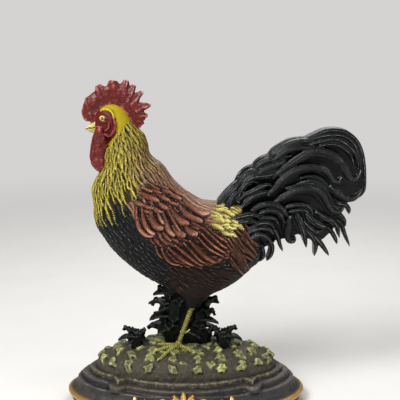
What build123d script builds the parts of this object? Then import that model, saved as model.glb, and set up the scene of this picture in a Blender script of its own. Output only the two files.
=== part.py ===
"""Painted cast-iron cockerel on a moulded plinth, a table ornament in sand-cast pieces.

Frame: millimetres, +Z up, the bird faces -X and its left side faces -Y.
The origin is on the floor at the middle of the plinth.
The figure is cast as two hollow halves that meet in the plane Y = 0 and clamp the comb and the tail
between them. A tie rod runs from the plinth through the mound and the fern clump into the body.
"""

from build123d import *
import math
import os
from collections import namedtuple
from functools import lru_cache

# Plinth: oval foot and bead, sloping skirt, then a cartouche step
PLINTH_HALF_LENGTH = 122.0
PLINTH_HALF_DEPTH = 73.0
FOOT_INSET = 4.0
FOOT_HEIGHT = 7.0
BEAD_HEIGHT = 5.0
BEAD_ROUND = 2.4
SKIRT_INSET = 3.0
SKIRT_RISE = 11.0
SKIRT_SLOPE = 7.5
SKIRT_HOLLOW_RISE = 0.4
SKIRT_HOLLOW_SLOPE = 0.75
STEP_GROW = 7.0
STEP_HEIGHT = 6.0
STEP_ROUND = 2.0
PLINTH_WALL = 7.0
PLINTH_WEB = 6.0

# Cartouche outline of the upper tier, as points of one quarter seen from above
TIER_END = 100.0
TIER_FRONT = 54.0
TIER_LOBE = (91.0, 18.0)
TIER_SHOULDER = (72.0, 32.0)
TIER_EAR = (67.0, 45.0)
TIER_NOTCH = (58.0, 37.5)
TIER_BOW = (34.0, 49.5)

# Grass mound on its flange
FLANGE_HEIGHT = 5.0
FLANGE_ROUND = 1.6
MOUND_HALF_LENGTH = 92.0
MOUND_HALF_DEPTH = 47.0
MOUND_RISE = 26.0
MOUND_FULLNESS = 2.3
MOUND_LAYERS = 6
MOUND_LAST_TURN = 84.6
MOUND_WALL = 5.0
MOUND_TUBE_RADIUS = 11.0
MOUND_SCREW_REACH = 62.0
MOUND_BOSS_RADIUS = 6.0

# Tufts of grass that stand on the mound, in rings, and the plain ground under the bird
TUFT_RINGS = [(0.94, 22), (0.77, 18), (0.58, 14)]
TUFT_HALF_LENGTH = 6.5
TUFT_HALF_WIDTH = 4.2
TUFT_RISE = 1.6
TUFT_TAPER = 32.0
TUFT_ROOT = 2.5
TUFT_SPIN = 67.0
TUFT_CLEAR = 11.0
SLOPE_STEP = 1.0
PLAIN_GROUND_X = (-38.0, 15.0)
PLAIN_GROUND_DEPTH = 40.0

# Felt under the plinth
FELT_THICKNESS = 2.0
FELT_INSET = 1.5

# Tie rod, its nut and washers
ROD_X = -8.0
ROD_RADIUS = 4.0
ROD_HEAD_ACROSS = 13.0
ROD_HEAD_HEIGHT = 5.3
ROD_CLEARANCE = 0.4
ROD_PAST_NUT = 5.0
NUT_HEIGHT = 6.5
WASHER_RADIUS = 8.0
WASHER_THICKNESS = 1.6

# Small screws
SCREW_RADIUS = 2.5
SCREW_HEAD_RADIUS = 4.6
SCREW_HEAD_HEIGHT = 2.8
SCREW_HEAD_ROUND = 1.12
SCREW_SLOT_WIDTH = 1.2
SCREW_SLOT_DEPTH = 1.2
SCREW_BOSS_RADIUS = 6.5
SCREW_CLEARANCE = 0.2
SCREW_BITE = 9.0
SCREW_END_GAP = 1.0
HEAD_SINK = 1.0

# Fits between castings
SEAT_GAP = 0.15
PEG_CLEARANCE = 0.12

# Figure: stations from the face to the tail socket, measured from where the belly meets the tie rod
STANCE = 55.0
Station = namedtuple("Station", "back front half_width")
BODY_STATIONS = [
    Station((-80.0, 178.0), (-82.0, 164.0), 5.5),
    Station((-72.0, 186.0), (-76.0, 158.0), 10.8),
    Station((-62.0, 188.0), (-70.0, 154.0), 13.2),
    Station((-54.0, 184.5), (-67.0, 150.0), 14.0),
    Station((-45.0, 172.0), (-70.0, 141.0), 15.0),
    Station((-36.5, 160.0), (-75.0, 127.0), 18.5),
    Station((-27.0, 145.0), (-81.0, 113.0), 23.5),
    Station((-17.0, 132.0), (-84.5, 93.0), 29.5),
    Station((-2.0, 117.0), (-83.0, 71.5), 35.5),
    Station((17.0, 101.0), (-68.0, 46.5), 40.0),
    Station((32.5, 93.0), (-38.0, 19.0), 42.0),
    Station((46.0, 90.0), (0.0, 0.0), 41.0),
    Station((60.0, 84.0), (43.0, 0.5), 37.0),
    Station((71.0, 75.0), (66.0, 18.5), 28.0),
    Station((79.0, 68.0), (79.5, 32.0), 18.0),
]
BODY_WALL = 4.5
BELLY_PAD_RADIUS = 13.0
BELLY_PAD_HEIGHT = 12.0
SCREW_STATIONS = (6, 9, 12)
PIN_STATIONS = (4, 7, 13)
PIN_RADIUS = 2.0
PIN_LENGTH = 12.0
PIN_BOSS_RADIUS = 5.0

# Raised plumage of the body, as side outlines
HACKLE_RISE = 2.0
HACKLE_EDGE = [(-86, 62), (-72, 70), (-62, 78), (-50, 86), (-42, 97), (-30, 107), (-16, 110), (-2, 122)]
HACKLE_TOP = [(-22, 152), (-36, 163), (-58, 146), (-66, 122), (-96, 116)]
WING_RISE = 3.5
WING_OUTLINE = [
    (-38, 102), (-40, 76), (-31, 60), (-16, 47), (4, 38), (26, 36), (44, 42), (46, 56), (30, 74), (12, 88),
    (-10, 100),
]
SADDLE_RISE = 2.5
SADDLE_FRONT = [(31, 110), (33, 82), (42, 58), (56, 36), (72, 0)]

# Head details
BEAK_TIP = (-90.5, 163.0)
BEAK_ROOT = (-77.0, 168.5)
BEAK_ROOT_HALF = (5.6, 4.4)
BEAK_TIP_RADIUS = 0.9
BEAK_MIDDLE = 0.6
BEAK_MIDDLE_SHARE = 0.71
BEAK_HOOK = 0.22
JAW_TIP = (-87.5, 161.0)
JAW_ROOT = (-76.0, 163.4)
JAW_ROOT_HALF = (2.6, 3.6)
EYE_CENTRE = (-72.5, 175.2)
EYE_RADIUS = 3.4
EYE_Y = 10.4

# Comb: a blade with points that fan out from its middle
COMB_HALF_THICKNESS = 3.6
COMB_EDGE_ROUND = 1.4
COMB_CENTRE = (-58.0, 182.0)
COMB_BLADE = [(-91.0, 173.0), (-93.0, 183.0), (-86.0, 190.0), (-73.0, 201.0), (-57.0, 203.5), (-46.0, 198.0),
              (-40.0, 190.0), (-34.5, 182.0), (-33.0, 172.0), (-37.0, 164.0), (-44.0, 165.0), (-62.0, 180.0),
              (-80.0, 175.0)]
CombPoint = namedtuple("CombPoint", "tip half_width")
COMB_POINTS = [
    CombPoint((-87.8, 194.2), 3.2), CombPoint((-77.6, 206.0), 5.6), CombPoint((-62.5, 210.8), 7.4),
    CombPoint((-49.0, 210.8), 4.8), CombPoint((-41.2, 206.0), 3.6), CombPoint((-33.5, 199.2), 3.8),
    CombPoint((-26.0, 186.6), 3.6), CombPoint((-29.0, 176.0), 3.2),
]
COMB_POINT_ROOT_GROW = 2.0
CombCut = namedtuple("CombCut", "along thickness width")
COMB_POINT_CUTS = [CombCut(0.5, 1.0, 1.0), CombCut(0.8, 0.9, 0.9), CombCut(1.0, 0.5, 0.5)]
COMB_TENON = (16.0, 12.0)
COMB_TENON_HALF_THICKNESS = 1.8
COMB_TENON_CENTRE = (-62.0, 184.0)
COMB_PIN = (-62.0, 181.0)
COMB_PIN_RADIUS = 1.5
COMB_PIN_HALF_LENGTH = 9.5

# Wattles
WattleSection = namedtuple("WattleSection", "centre half_width half_thickness")
WATTLE_SECTIONS = [
    WattleSection((-78.5, 164.0), 4.0, 3.2),
    WattleSection((-79.5, 154.0), 7.0, 4.0),
    WattleSection((-80.5, 142.0), 8.5, 4.6),
    WattleSection((-80.0, 131.0), 7.5, 4.4),
    WattleSection((-77.0, 124.0), 3.5, 2.4),
]
WATTLE_Y = 7.0
WATTLE_PEG = (-75.5, 150.0)
WATTLE_PEG_Y = 4.5
WATTLE_PEG_RADIUS = 1.6
WATTLE_PEG_LENGTH = 16.0

# Thighs, and legs from the hock down
ThighSection = namedtuple("ThighSection", "x height half_length half_width")
THIGH_SECTIONS = [
    ThighSection(24.0, 26.0, 27.0, 15.0),
    ThighSection(21.0, 8.0, 20.0, 13.0),
    ThighSection(17.0, -5.0, 11.0, 8.5),
    ThighSection(14.5, -13.0, 6.0, 5.5),
]
LEG_Y = 20.0
HOCK = (14.5, -13.0)
FOOT_X = 0.5
FOOT_LIFT = 4.0
SHANK_TOP_RADIUS = 4.2
SHANK_FOOT_RADIUS = 3.0
LEG_PEG_RADIUS = 2.2
LEG_PEG_LENGTH = 8.0
Toe = namedtuple("Toe", "reach heading")
TOES = [Toe(24.0, 222.0), Toe(26.0, 190.0), Toe(22.0, 155.0), Toe(16.0, -28.0)]
TOE_RADIUS = 2.6
TOE_TIP_RADIUS = 0.8

# Tail: sickle feathers in layers, each along a hooked line from root to tip
TAIL_CORE_HALF = 7.0
TAIL_CORE = [
    (30, 84), (46, 97), (62, 114), (84, 130), (104, 144), (128, 153), (152, 160), (170, 154), (181, 140),
    (184, 118), (172, 100), (168, 84), (156, 64), (138, 52), (120, 54), (104, 46), (88, 30), (72, 24),
    (66, 40), (40, 60),
]
Sickle = namedtuple("Sickle", "line half_width layer")
SICKLES = [
    Sickle([(44, 92), (72, 122), (108, 149), (150, 161), (180, 145), (186, 112), (172, 92)], 4.6, 0),
    Sickle([(60, 108), (92, 133), (128, 151), (160, 151), (178, 130), (183, 112)], 4.2, 1),
    Sickle([(84, 110), (108, 132), (140, 143), (163, 132), (172, 116), (183, 119)], 5.4, 2),
    Sickle([(78, 92), (104, 112), (132, 124), (152, 116), (160, 108), (166, 114)], 4.4, 3),
    Sickle([(76, 80), (104, 98), (130, 103), (148, 92), (156, 78), (170, 81)], 5.0, 3),
    Sickle([(62, 74), (84, 88), (106, 84), (112, 62), (117, 47)], 5.0, 4),
    Sickle([(96, 74), (120, 86), (138, 72), (142, 50), (137, 30)], 5.0, 2),
    Sickle([(112, 78), (142, 82), (160, 66), (172, 42)], 4.6, 1),
    Sickle([(110, 70), (134, 72), (148, 56), (153, 34)], 4.6, 1),
    Sickle([(60, 62), (82, 70), (96, 58), (106, 38)], 4.8, 4),
    Sickle([(58, 52), (76, 54), (88, 42), (94, 22)], 4.8, 3),
    Sickle([(62, 44), (74, 40), (80, 30), (82, 19)], 4.6, 1),
    Sickle([(48, 90), (68, 104), (90, 110), (104, 106)], 4.6, 4),
    Sickle([(52, 100), (74, 117), (96, 124), (112, 120)], 4.4, 3),
]
SICKLE_STEPS = 7
LAYER_STEP = 2.6
SICKLE_RIDGE = 3.2
RIDGE_SHARE = 0.35
SICKLE_FULLNESS = 0.6
TAIL_TENON = (26.0, 13.0)
TAIL_TENON_HALF_THICKNESS = 6.0
TAIL_TENON_CENTRE = (70.0, 59.0)
TAIL_PIN = (74.5, 59.0)
TAIL_PIN_RADIUS = 2.5
TAIL_PIN_HALF_LENGTH = 14.0
TAIL_DOWELS = [(100, 112), (140, 128), (112, 70)]
TAIL_DOWEL_RADIUS = 2.0
TAIL_DOWEL_HALF_LENGTH = 5.0

# Fern clump that carries the body
STEM_SECTIONS = [(0.0, 15.0), (14.0, 11.5), (36.0, 11.5), (62.0, 16.0)]
LEAF_THICKNESS = 2.6
LEAF_CREST = 0.55
LEAF_WIDEST = 0.45
Leaf = namedtuple("Leaf", "heading root_height reach rise droop half_width")
FERN_LEAVES = [
    Leaf(190.0, 34.0, 26.0, 20.0, 3.0, 9.0), Leaf(172.0, 24.0, 31.0, 19.0, 4.0, 9.0),
    Leaf(200.0, 12.0, 31.0, 19.0, 5.0, 10.0), Leaf(165.0, 4.0, 34.0, 14.0, 6.0, 10.0),
    Leaf(5.0, 26.0, 43.0, 17.0, 3.0, 9.0), Leaf(348.0, 14.0, 43.0, 13.0, 5.0, 9.5),
    Leaf(16.0, 4.0, 42.0, 12.0, 5.0, 9.5), Leaf(228.0, 5.0, 30.0, 16.0, 7.0, 9.0),
    Leaf(315.0, 4.0, 32.0, 13.0, 6.0, 9.0), Leaf(132.0, 5.0, 30.0, 16.0, 7.0, 9.0),
    Leaf(45.0, 4.0, 32.0, 13.0, 6.0, 9.0), Leaf(145.0, 22.0, 24.0, 18.0, 4.0, 8.5),
    Leaf(215.0, 22.0, 24.0, 18.0, 4.0, 8.5),
]

# Low fern sprigs beside the clump
Sprig = namedtuple("Sprig", "x y heading")
SPRIG_LEFT = Sprig(-50.0, -4.0, 180.0)
SPRIG_RIGHT = Sprig(38.0, -6.0, 0.0)
SPRIG_LEAVES = [
    Leaf(0.0, 1.0, 20.0, 9.0, 5.0, 6.0), Leaf(65.0, 1.0, 16.0, 9.0, 4.0, 5.5),
    Leaf(-65.0, 1.0, 16.0, 9.0, 4.0, 5.5), Leaf(140.0, 1.0, 12.0, 9.0, 4.0, 5.0),
]
SPRIG_STEM_RADIUS = 4.0
SPRIG_STEM_HEIGHT = 5.0
SPRIG_PEG_RADIUS = 2.0
SPRIG_PEG_LENGTH = 7.0

# Gilt crest on the front of the plinth
CREST_X = -1.5
CREST_DEPTH = 3.5
CREST_BOSS_RADIUS = 6.0
CREST_PETALS = 5
CREST_PETAL_LENGTH = 18.0
CREST_PETAL_HALF_WIDTH = 3.0
CREST_FAN = 64.0
CREST_BAND = 2.2
Scroll = namedtuple("Scroll", "x height radius")
CREST_SCROLLS = [Scroll(10.5, 5.0, 6.0), Scroll(20.0, 7.0, 4.4)]
CREST_STEM = [(22.0, 6.0), (34.0, 4.5), (47.0, 8.0)]
CREST_BUDS = 5
CREST_BUD_RADII = (1.9, 3.2)
CREST_PEG_RADIUS = 1.8
CREST_PEG_LENGTH = 6.0

# Heights that follow from the sizes above
PLINTH_TOP = FELT_THICKNESS + FOOT_HEIGHT + BEAD_HEIGHT + SKIRT_RISE + STEP_HEIGHT
MOUND_BASE = PLINTH_TOP + FLANGE_HEIGHT
MOUND_TOP = MOUND_BASE + MOUND_RISE
BELLY_Z = MOUND_TOP + STANCE
SIDE_VIEW = Plane(origin=(ROD_X, 0, BELLY_Z), x_dir=(1, 0, 0), z_dir=(0, -1, 0))
WIDE = 400.0


def in_body(point, y=0.0):
    """A point of the side view, (x, height) from the belly datum, in the part's frame."""
    return Vector(ROD_X + point[0], y, BELLY_Z + point[1])


def side_prism(outline, y_from, y_to):
    """A side-view outline, drawn as one closed smooth curve, extruded from y_from to y_to."""
    edge = Spline(*outline, periodic=True)
    plane = SIDE_VIEW.offset(-y_from)
    return extrude(plane * make_face(edge), amount=y_from - y_to)


def rod_along_y(point, radius, y_from, y_to):
    """A cylinder across the body at a side-view point."""
    plane = Plane(origin=in_body(point, y_from), z_dir=(0, 1, 0))
    return extrude(plane * Circle(radius), amount=y_to - y_from)


def tapered_bar(start, end, start_radius, end_radius):
    """A round bar between two points, with ball ends."""
    axis = end - start
    plane = Plane(origin=start, z_dir=axis)
    far = plane.offset(axis.length)
    bar = loft([plane * Circle(start_radius), far * Circle(end_radius)])
    return bar + Pos(start) * Sphere(start_radius) + Pos(end) * Sphere(end_radius)


@lru_cache
def cartouche(grow):
    """Plan outline of the upper tier: bowed front and back, rounded ends and four pointed ears."""
    quarter = Curve() + [
        ThreePointArc((TIER_END, 0), TIER_LOBE, TIER_SHOULDER),
        Line(TIER_SHOULDER, TIER_EAR),
        Line(TIER_EAR, TIER_NOTCH),
        ThreePointArc(TIER_NOTCH, TIER_BOW, (0, TIER_FRONT)),
    ]
    half = quarter + mirror(quarter, Plane.YZ)
    face = make_face((half + mirror(half, Plane.XZ)).edges())
    return offset(face, amount=grow) if grow else face


def oval(inset):
    return Ellipse(PLINTH_HALF_LENGTH - inset, PLINTH_HALF_DEPTH - inset)


@lru_cache
def mound_form(grow):
    """The mound as a loft of ovals that close in along a superellipse."""
    top = MOUND_RISE + grow
    layers = []
    for i in range(MOUND_LAYERS):
        turn = math.radians(MOUND_LAST_TURN) * i / (MOUND_LAYERS - 1)
        reach = math.cos(turn) ** (2 / MOUND_FULLNESS)
        height = math.sin(turn) ** (2 / MOUND_FULLNESS)
        plane = Plane.XY.offset(MOUND_BASE + top * height)
        layers.append(plane * Ellipse((MOUND_HALF_LENGTH + grow) * reach, (MOUND_HALF_DEPTH + grow) * reach))
    return loft(layers)


def felt_pad():
    return extrude(oval(FOOT_INSET + FELT_INSET), amount=FELT_THICKNESS)


def skirt_levels():
    """Heights and insets of the plinth's sloping skirt, hollow in the middle."""
    start = FELT_THICKNESS + FOOT_HEIGHT + BEAD_HEIGHT
    return [
        (start, SKIRT_INSET),
        (start + SKIRT_HOLLOW_RISE * SKIRT_RISE, SKIRT_INSET + SKIRT_HOLLOW_SLOPE * SKIRT_SLOPE),
        (start + SKIRT_RISE, SKIRT_INSET + SKIRT_SLOPE),
    ]


@lru_cache
def plinth_form():
    """Outside of the plinth: foot, rounded bead, skirt and step."""
    foot = extrude(Plane.XY.offset(FELT_THICKNESS) * oval(FOOT_INSET), amount=FOOT_HEIGHT)
    bead = extrude(Plane.XY.offset(FELT_THICKNESS + FOOT_HEIGHT) * oval(0), amount=BEAD_HEIGHT)
    bead = fillet(bead.edges(), BEAD_ROUND)
    skirt = loft([Plane.XY.offset(z) * oval(inset) for z, inset in skirt_levels()])
    step = extrude(Plane.XY.offset(PLINTH_TOP - STEP_HEIGHT) * cartouche(STEP_GROW), amount=STEP_HEIGHT)
    step = fillet(step.faces().sort_by(Axis.Z)[-1].edges(), STEP_ROUND)
    return foot + bead + skirt + step


def mound_screw_places():
    return [(-MOUND_SCREW_REACH, 0), (MOUND_SCREW_REACH, 0)]


def web_underside():
    return PLINTH_TOP - PLINTH_WEB


def plinth():
    """The plinth, hollow from below up to the web that carries the mound."""
    shell = plinth_form()
    room = web_underside() - FELT_THICKNESS
    floor = Plane.XY.offset(FELT_THICKNESS)
    shell -= extrude(floor * oval(FOOT_INSET + PLINTH_WALL), amount=FOOT_HEIGHT)
    shell -= extrude(floor * oval(SKIRT_INSET + SKIRT_SLOPE + PLINTH_WALL), amount=room)
    holes = Pos(ROD_X, 0) * Circle(ROD_RADIUS + ROD_CLEARANCE)
    for place in mound_screw_places():
        holes += Pos(*place) * Circle(SCREW_RADIUS + SCREW_CLEARANCE)
    shell -= extrude(holes, amount=PLINTH_TOP)
    return shell - crest_pegs(PEG_CLEARANCE)


def mound():
    """The grass mound on its flange, hollow, with a tube for the tie rod and bosses for the screws."""
    flange = extrude(Plane.XY.offset(PLINTH_TOP) * cartouche(0), amount=FLANGE_HEIGHT)
    flange = fillet(flange.faces().sort_by(Axis.Z)[-1].edges(), FLANGE_ROUND)
    outside = flange + ([mound_form(0)] + tufts())
    inside = mound_form(-MOUND_WALL)
    mouth = inside.faces().sort_by(Axis.Z)[0].moved(Pos(0, 0, PLINTH_TOP - MOUND_BASE))
    well = extrude(mouth, amount=FLANGE_HEIGHT)
    tube = Pos(ROD_X, 0) * Circle(MOUND_TUBE_RADIUS)
    for place in mound_screw_places():
        tube += Pos(*place) * Circle(MOUND_BOSS_RADIUS)
    posts = extrude(Plane.XY.offset(PLINTH_TOP) * tube, amount=MOUND_RISE + FLANGE_HEIGHT) & (inside + well)
    casting = outside - inside - well + posts
    casting -= extrude(Pos(ROD_X, 0) * Circle(ROD_RADIUS + ROD_CLEARANCE), amount=MOUND_TOP)
    for place in mound_screw_places():
        hole = Plane.XY.offset(PLINTH_TOP) * Pos(*place) * Circle(SCREW_RADIUS)
        casting -= extrude(hole, amount=SCREW_BITE)
    for side in (-1, 1):
        casting -= leg_foot_peg(side, PEG_CLEARANCE)
    for sprig in (SPRIG_LEFT, SPRIG_RIGHT):
        casting -= sprig_peg(sprig, PEG_CLEARANCE)
    return casting


def tuft_places():
    """Places in rings on the mound, clear of what stands on it."""
    places = []
    for reach, count in TUFT_RINGS:
        for i in range(count):
            turn = 2 * math.pi * i / count
            x, y = reach * MOUND_HALF_LENGTH * math.cos(turn), reach * MOUND_HALF_DEPTH * math.sin(turn)
            under_bird = PLAIN_GROUND_X[0] < x < PLAIN_GROUND_X[1] and abs(y) < PLAIN_GROUND_DEPTH
            sprigs = [math.hypot(x - sprig.x, y - sprig.y) for sprig in (SPRIG_LEFT, SPRIG_RIGHT)]
            if not under_bird and min(sprigs) > TUFT_CLEAR:
                places.append((x, y))
    return places


def tufts():
    """Low leaf-shaped lumps with sloping sides, each turned from the last, rooted in the mound."""
    lumps = []
    for i, (x, y) in enumerate(tuft_places()):
        fall_x = mound_height(x - SLOPE_STEP, y) - mound_height(x + SLOPE_STEP, y)
        fall_y = mound_height(x, y - SLOPE_STEP) - mound_height(x, y + SLOPE_STEP)
        slope = Vector(fall_x, fall_y, 2 * SLOPE_STEP)
        plane = Plane(origin=(x, y, mound_height(x, y)), z_dir=slope)
        leaf = Rot(0, 0, TUFT_SPIN * i) * Ellipse(TUFT_HALF_LENGTH, TUFT_HALF_WIDTH)
        foot = plane.offset(-TUFT_ROOT) * leaf
        lumps.append(extrude(foot, amount=TUFT_ROOT + TUFT_RISE, taper=TUFT_TAPER))
    return lumps


def slotted_screw(length):
    """A screw that points up from the origin, its slotted head below."""
    head = extrude(Circle(SCREW_HEAD_RADIUS), amount=-SCREW_HEAD_HEIGHT)
    head = fillet(head.faces().sort_by(Axis.Z)[0].edges(), SCREW_HEAD_ROUND)
    slot = Box(SCREW_SLOT_WIDTH, 2 * SCREW_HEAD_RADIUS, SCREW_SLOT_DEPTH,
               align=(Align.CENTER, Align.CENTER, Align.MIN))
    return head + extrude(Circle(SCREW_RADIUS), amount=length) - Pos(0, 0, -SCREW_HEAD_HEIGHT) * slot


def mound_screws():
    screw = slotted_screw(PLINTH_WEB + SCREW_BITE - SCREW_END_GAP)
    return [Pos(x, y, web_underside()) * screw for x, y in mound_screw_places()]


def mound_height(x, y):
    """Height of the mound's surface at a place."""
    reach = math.hypot(x / MOUND_HALF_LENGTH, y / MOUND_HALF_DEPTH)
    return MOUND_BASE + MOUND_RISE * (1 - reach ** MOUND_FULLNESS) ** (1 / MOUND_FULLNESS)


def belly_seat():
    """Height of the pad inside the belly on which the upper washer lies."""
    return BELLY_Z + BELLY_PAD_HEIGHT


def tie_rod():
    """Hexagon-headed rod, its head under the plinth's web and its end above the nut."""
    low = web_underside() - WASHER_THICKNESS
    high = belly_seat() + WASHER_THICKNESS + NUT_HEIGHT + ROD_PAST_NUT
    head = RegularPolygon(ROD_HEAD_ACROSS / 2, 6, major_radius=False)
    rod = extrude(Plane.XY.offset(low) * Circle(ROD_RADIUS), amount=high - low)
    return Pos(ROD_X, 0) * (rod + extrude(Plane.XY.offset(low) * head, amount=-ROD_HEAD_HEIGHT))


def tie_rod_nut():
    nut = RegularPolygon(ROD_HEAD_ACROSS / 2, 6, major_radius=False) - Circle(ROD_RADIUS)
    return Pos(ROD_X, 0, belly_seat() + WASHER_THICKNESS) * extrude(nut, amount=NUT_HEIGHT)


def tie_rod_washers():
    washer = extrude(Circle(WASHER_RADIUS) - Circle(ROD_RADIUS + ROD_CLEARANCE), amount=WASHER_THICKNESS)
    return [Pos(ROD_X, 0, z) * washer for z in (web_underside() - WASHER_THICKNESS, belly_seat())]


def crest_plane():
    """The plane that the crest lies in, leaning back along the skirt."""
    start, end = skirt_levels()[0], skirt_levels()[-1]
    lean = Vector(0, end[1] - start[1], end[0] - start[0])
    origin = (CREST_X, start[1] - PLINTH_HALF_DEPTH, start[0])
    return Plane(origin=origin, x_dir=(1, 0, 0), z_dir=Vector(1, 0, 0).cross(lean))


def crest_pegs(clearance):
    """Two pegs that hold the crest in the plinth."""
    scroll = CREST_SCROLLS[0]
    pegs = Part()
    for side in (-1, 1):
        peg = Pos(side * (scroll.x + scroll.radius), scroll.height) * Circle(CREST_PEG_RADIUS + clearance)
        pegs += extrude(crest_plane() * peg, amount=-CREST_PEG_LENGTH)
    return pegs


def crest_half():
    """Scrolls and a budding stem on the right of the crest, flat."""
    flat = trace(ThreePointArc(*CREST_STEM), CREST_BAND)
    for scroll in CREST_SCROLLS:
        flat += Pos(scroll.x, scroll.height) * (Circle(scroll.radius) - Circle(scroll.radius - CREST_BAND))
    stem = ThreePointArc(*CREST_STEM)
    for i in range(CREST_BUDS):
        along = (i + 1) / CREST_BUDS
        lift = CREST_BUD_RADII[1] * (-1) ** i
        place = stem @ along + Vector(0, lift)
        flat += Pos(place) * Ellipse(*CREST_BUD_RADII)
    return flat


def front_ornament():
    """A fan of petals with scrolls and a budding stem on each side, seated on the skirt."""
    flat = Circle(CREST_BOSS_RADIUS) + crest_half() + mirror(crest_half(), Plane.YZ)
    for i in range(CREST_PETALS):
        turn = CREST_FAN * (2 * i / (CREST_PETALS - 1) - 1)
        petal = Pos(0, CREST_PETAL_LENGTH / 2) * Ellipse(CREST_PETAL_HALF_WIDTH, CREST_PETAL_LENGTH / 2)
        flat += Rot(0, 0, turn) * petal
    crest = extrude(crest_plane() * flat, amount=CREST_DEPTH, both=True) - plinth_form()
    return crest + (crest_pegs(0) & plinth_form())


def leg_points(side):
    """Hock and foot joint of one leg."""
    hock = in_body(HOCK, side * LEG_Y)
    x = ROD_X + FOOT_X
    foot = Vector(x, side * LEG_Y, mound_height(x, LEG_Y) + FOOT_LIFT)
    return hock, foot


def leg_foot_peg(side, clearance):
    _, foot = leg_points(side)
    plane = Plane(origin=foot - Vector(0, 0, FOOT_LIFT + LEG_PEG_LENGTH))
    return extrude(plane * Circle(LEG_PEG_RADIUS + clearance), amount=FOOT_LIFT + LEG_PEG_LENGTH)


def leg_thigh_peg(side, clearance):
    hock, _ = leg_points(side)
    return extrude(Plane(origin=hock) * Circle(LEG_PEG_RADIUS + clearance), amount=LEG_PEG_LENGTH + clearance)


def leg(side):
    """Shank and toes, cut flat under the thigh and seated on the mound."""
    hock, foot = leg_points(side)
    form = tapered_bar(hock, foot, SHANK_TOP_RADIUS, SHANK_FOOT_RADIUS)
    for toe in TOES:
        turn = math.radians(toe.heading)
        x = foot.X + toe.reach * math.cos(turn)
        y = foot.Y - side * toe.reach * math.sin(turn)
        tip = Vector(x, y, mound_height(x, y) + TOE_TIP_RADIUS)
        form += tapered_bar(foot, tip, TOE_RADIUS, TOE_TIP_RADIUS)
    form -= mound_form(SEAT_GAP)
    form -= extrude(Plane(origin=hock) * Circle(2 * SHANK_TOP_RADIUS), amount=2 * SHANK_TOP_RADIUS)
    return form + leg_foot_peg(side, 0) + leg_thigh_peg(side, 0)


def arched_leaf(root, heading, leaf):
    """A leaf that rises from a root point and droops to a pointed tip."""
    turn = math.radians(heading)
    out = Vector(math.cos(turn), math.sin(turn), 0)
    side = Plane(origin=root, x_dir=out, z_dir=out.cross(Vector(0, 0, 1)))
    spine = [(0, leaf.root_height), (LEAF_CREST * leaf.reach, leaf.root_height + leaf.rise),
             (leaf.reach, leaf.root_height + leaf.rise - leaf.droop)]
    under = [(x, z - LEAF_THICKNESS) for x, z in spine]
    ends = [Line(spine[-1], under[-1]), Line(under[0], spine[0])]
    strip = make_face(Curve() + [Spline(*spine), Spline(*under)] + ends)
    strip = extrude(side * strip, amount=leaf.half_width, both=True)
    above = Plane(origin=root, x_dir=out, z_dir=(0, 0, 1))
    middle = LEAF_WIDEST * leaf.reach
    blade = make_face(Curve() + [
        ThreePointArc((-leaf.half_width, 0), (middle, leaf.half_width), (leaf.reach, 0)),
        ThreePointArc((leaf.reach, 0), (middle, -leaf.half_width), (-leaf.half_width, 0)),
    ])
    return strip & extrude(above * blade, amount=leaf.root_height + 2 * leaf.rise)


def fern_support():
    """Stem bored for the tie rod, with tiers of arched leaves, between the mound and the belly."""
    root = Vector(ROD_X, 0, MOUND_TOP)
    low = root - Vector(0, 0, LEAF_THICKNESS)
    stem = loft([Plane(origin=root + Vector(0, 0, z)) * Circle(radius) for z, radius in STEM_SECTIONS])
    stem += extrude(Plane(origin=low) * Circle(STEM_SECTIONS[0][1]), amount=LEAF_THICKNESS)
    clump = stem + [arched_leaf(root, leaf.heading, leaf) for leaf in FERN_LEAVES]
    cuts = [mound_form(SEAT_GAP), body_outside(SEAT_GAP)]
    for side in (-1, 1):
        hock, foot = leg_points(side)
        top, bottom = SHANK_TOP_RADIUS + LEAF_THICKNESS, SHANK_FOOT_RADIUS + LEAF_THICKNESS
        cuts.append(tapered_bar(hock, foot, top, bottom))
    cuts.append(extrude(Pos(ROD_X, 0) * Circle(ROD_RADIUS + ROD_CLEARANCE), amount=BELLY_Z + WIDE))
    return clump - cuts


def sprig_root(sprig):
    return Vector(sprig.x, sprig.y, mound_height(sprig.x, sprig.y))


def sprig_peg(sprig, clearance):
    plane = Plane(origin=sprig_root(sprig))
    return extrude(plane * Circle(SPRIG_PEG_RADIUS + clearance), amount=-SPRIG_PEG_LENGTH)


def fern_sprig(sprig):
    """A tuft of small leaves on a short stem, pegged into the mound."""
    root = sprig_root(sprig)
    plane = Plane(origin=root)
    foot = plane.offset(-LEAF_THICKNESS) * Circle(SPRIG_STEM_RADIUS)
    tuft = extrude(foot, amount=SPRIG_STEM_HEIGHT + LEAF_THICKNESS)
    tuft += [arched_leaf(root, sprig.heading + leaf.heading, leaf) for leaf in SPRIG_LEAVES]
    return tuft - mound_form(SEAT_GAP) + sprig_peg(sprig, 0)


def station_plane(station):
    """Section plane of a station: x from front to back, z towards the head."""
    back, front = in_body(station.back), in_body(station.front)
    along = back - front
    return Plane(origin=(back + front) / 2, x_dir=along, z_dir=along.cross(Vector(0, 1, 0)))


def body_loft(stations, grow):
    """A loft through the stations, every face moved out by grow."""
    sections = []
    for station in stations:
        shift = grow if station is stations[0] else -grow if station is stations[-1] else 0
        half_height = (in_body(station.back) - in_body(station.front)).length / 2
        oval_cut = Ellipse(half_height + grow, station.half_width + grow)
        sections.append(station_plane(station).offset(shift) * oval_cut)
    return loft(sections)


@lru_cache
def body_form(grow):
    return body_loft(BODY_STATIONS, grow)


def thigh_form(side, grow):
    sections = []
    for cut in THIGH_SECTIONS:
        shift = -grow if cut is THIGH_SECTIONS[-1] else 0
        plane = Plane(origin=in_body((cut.x, cut.height + shift), side * LEG_Y))
        sections.append(plane * Ellipse(cut.half_length + grow, cut.half_width + grow))
    return loft(sections)


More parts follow.
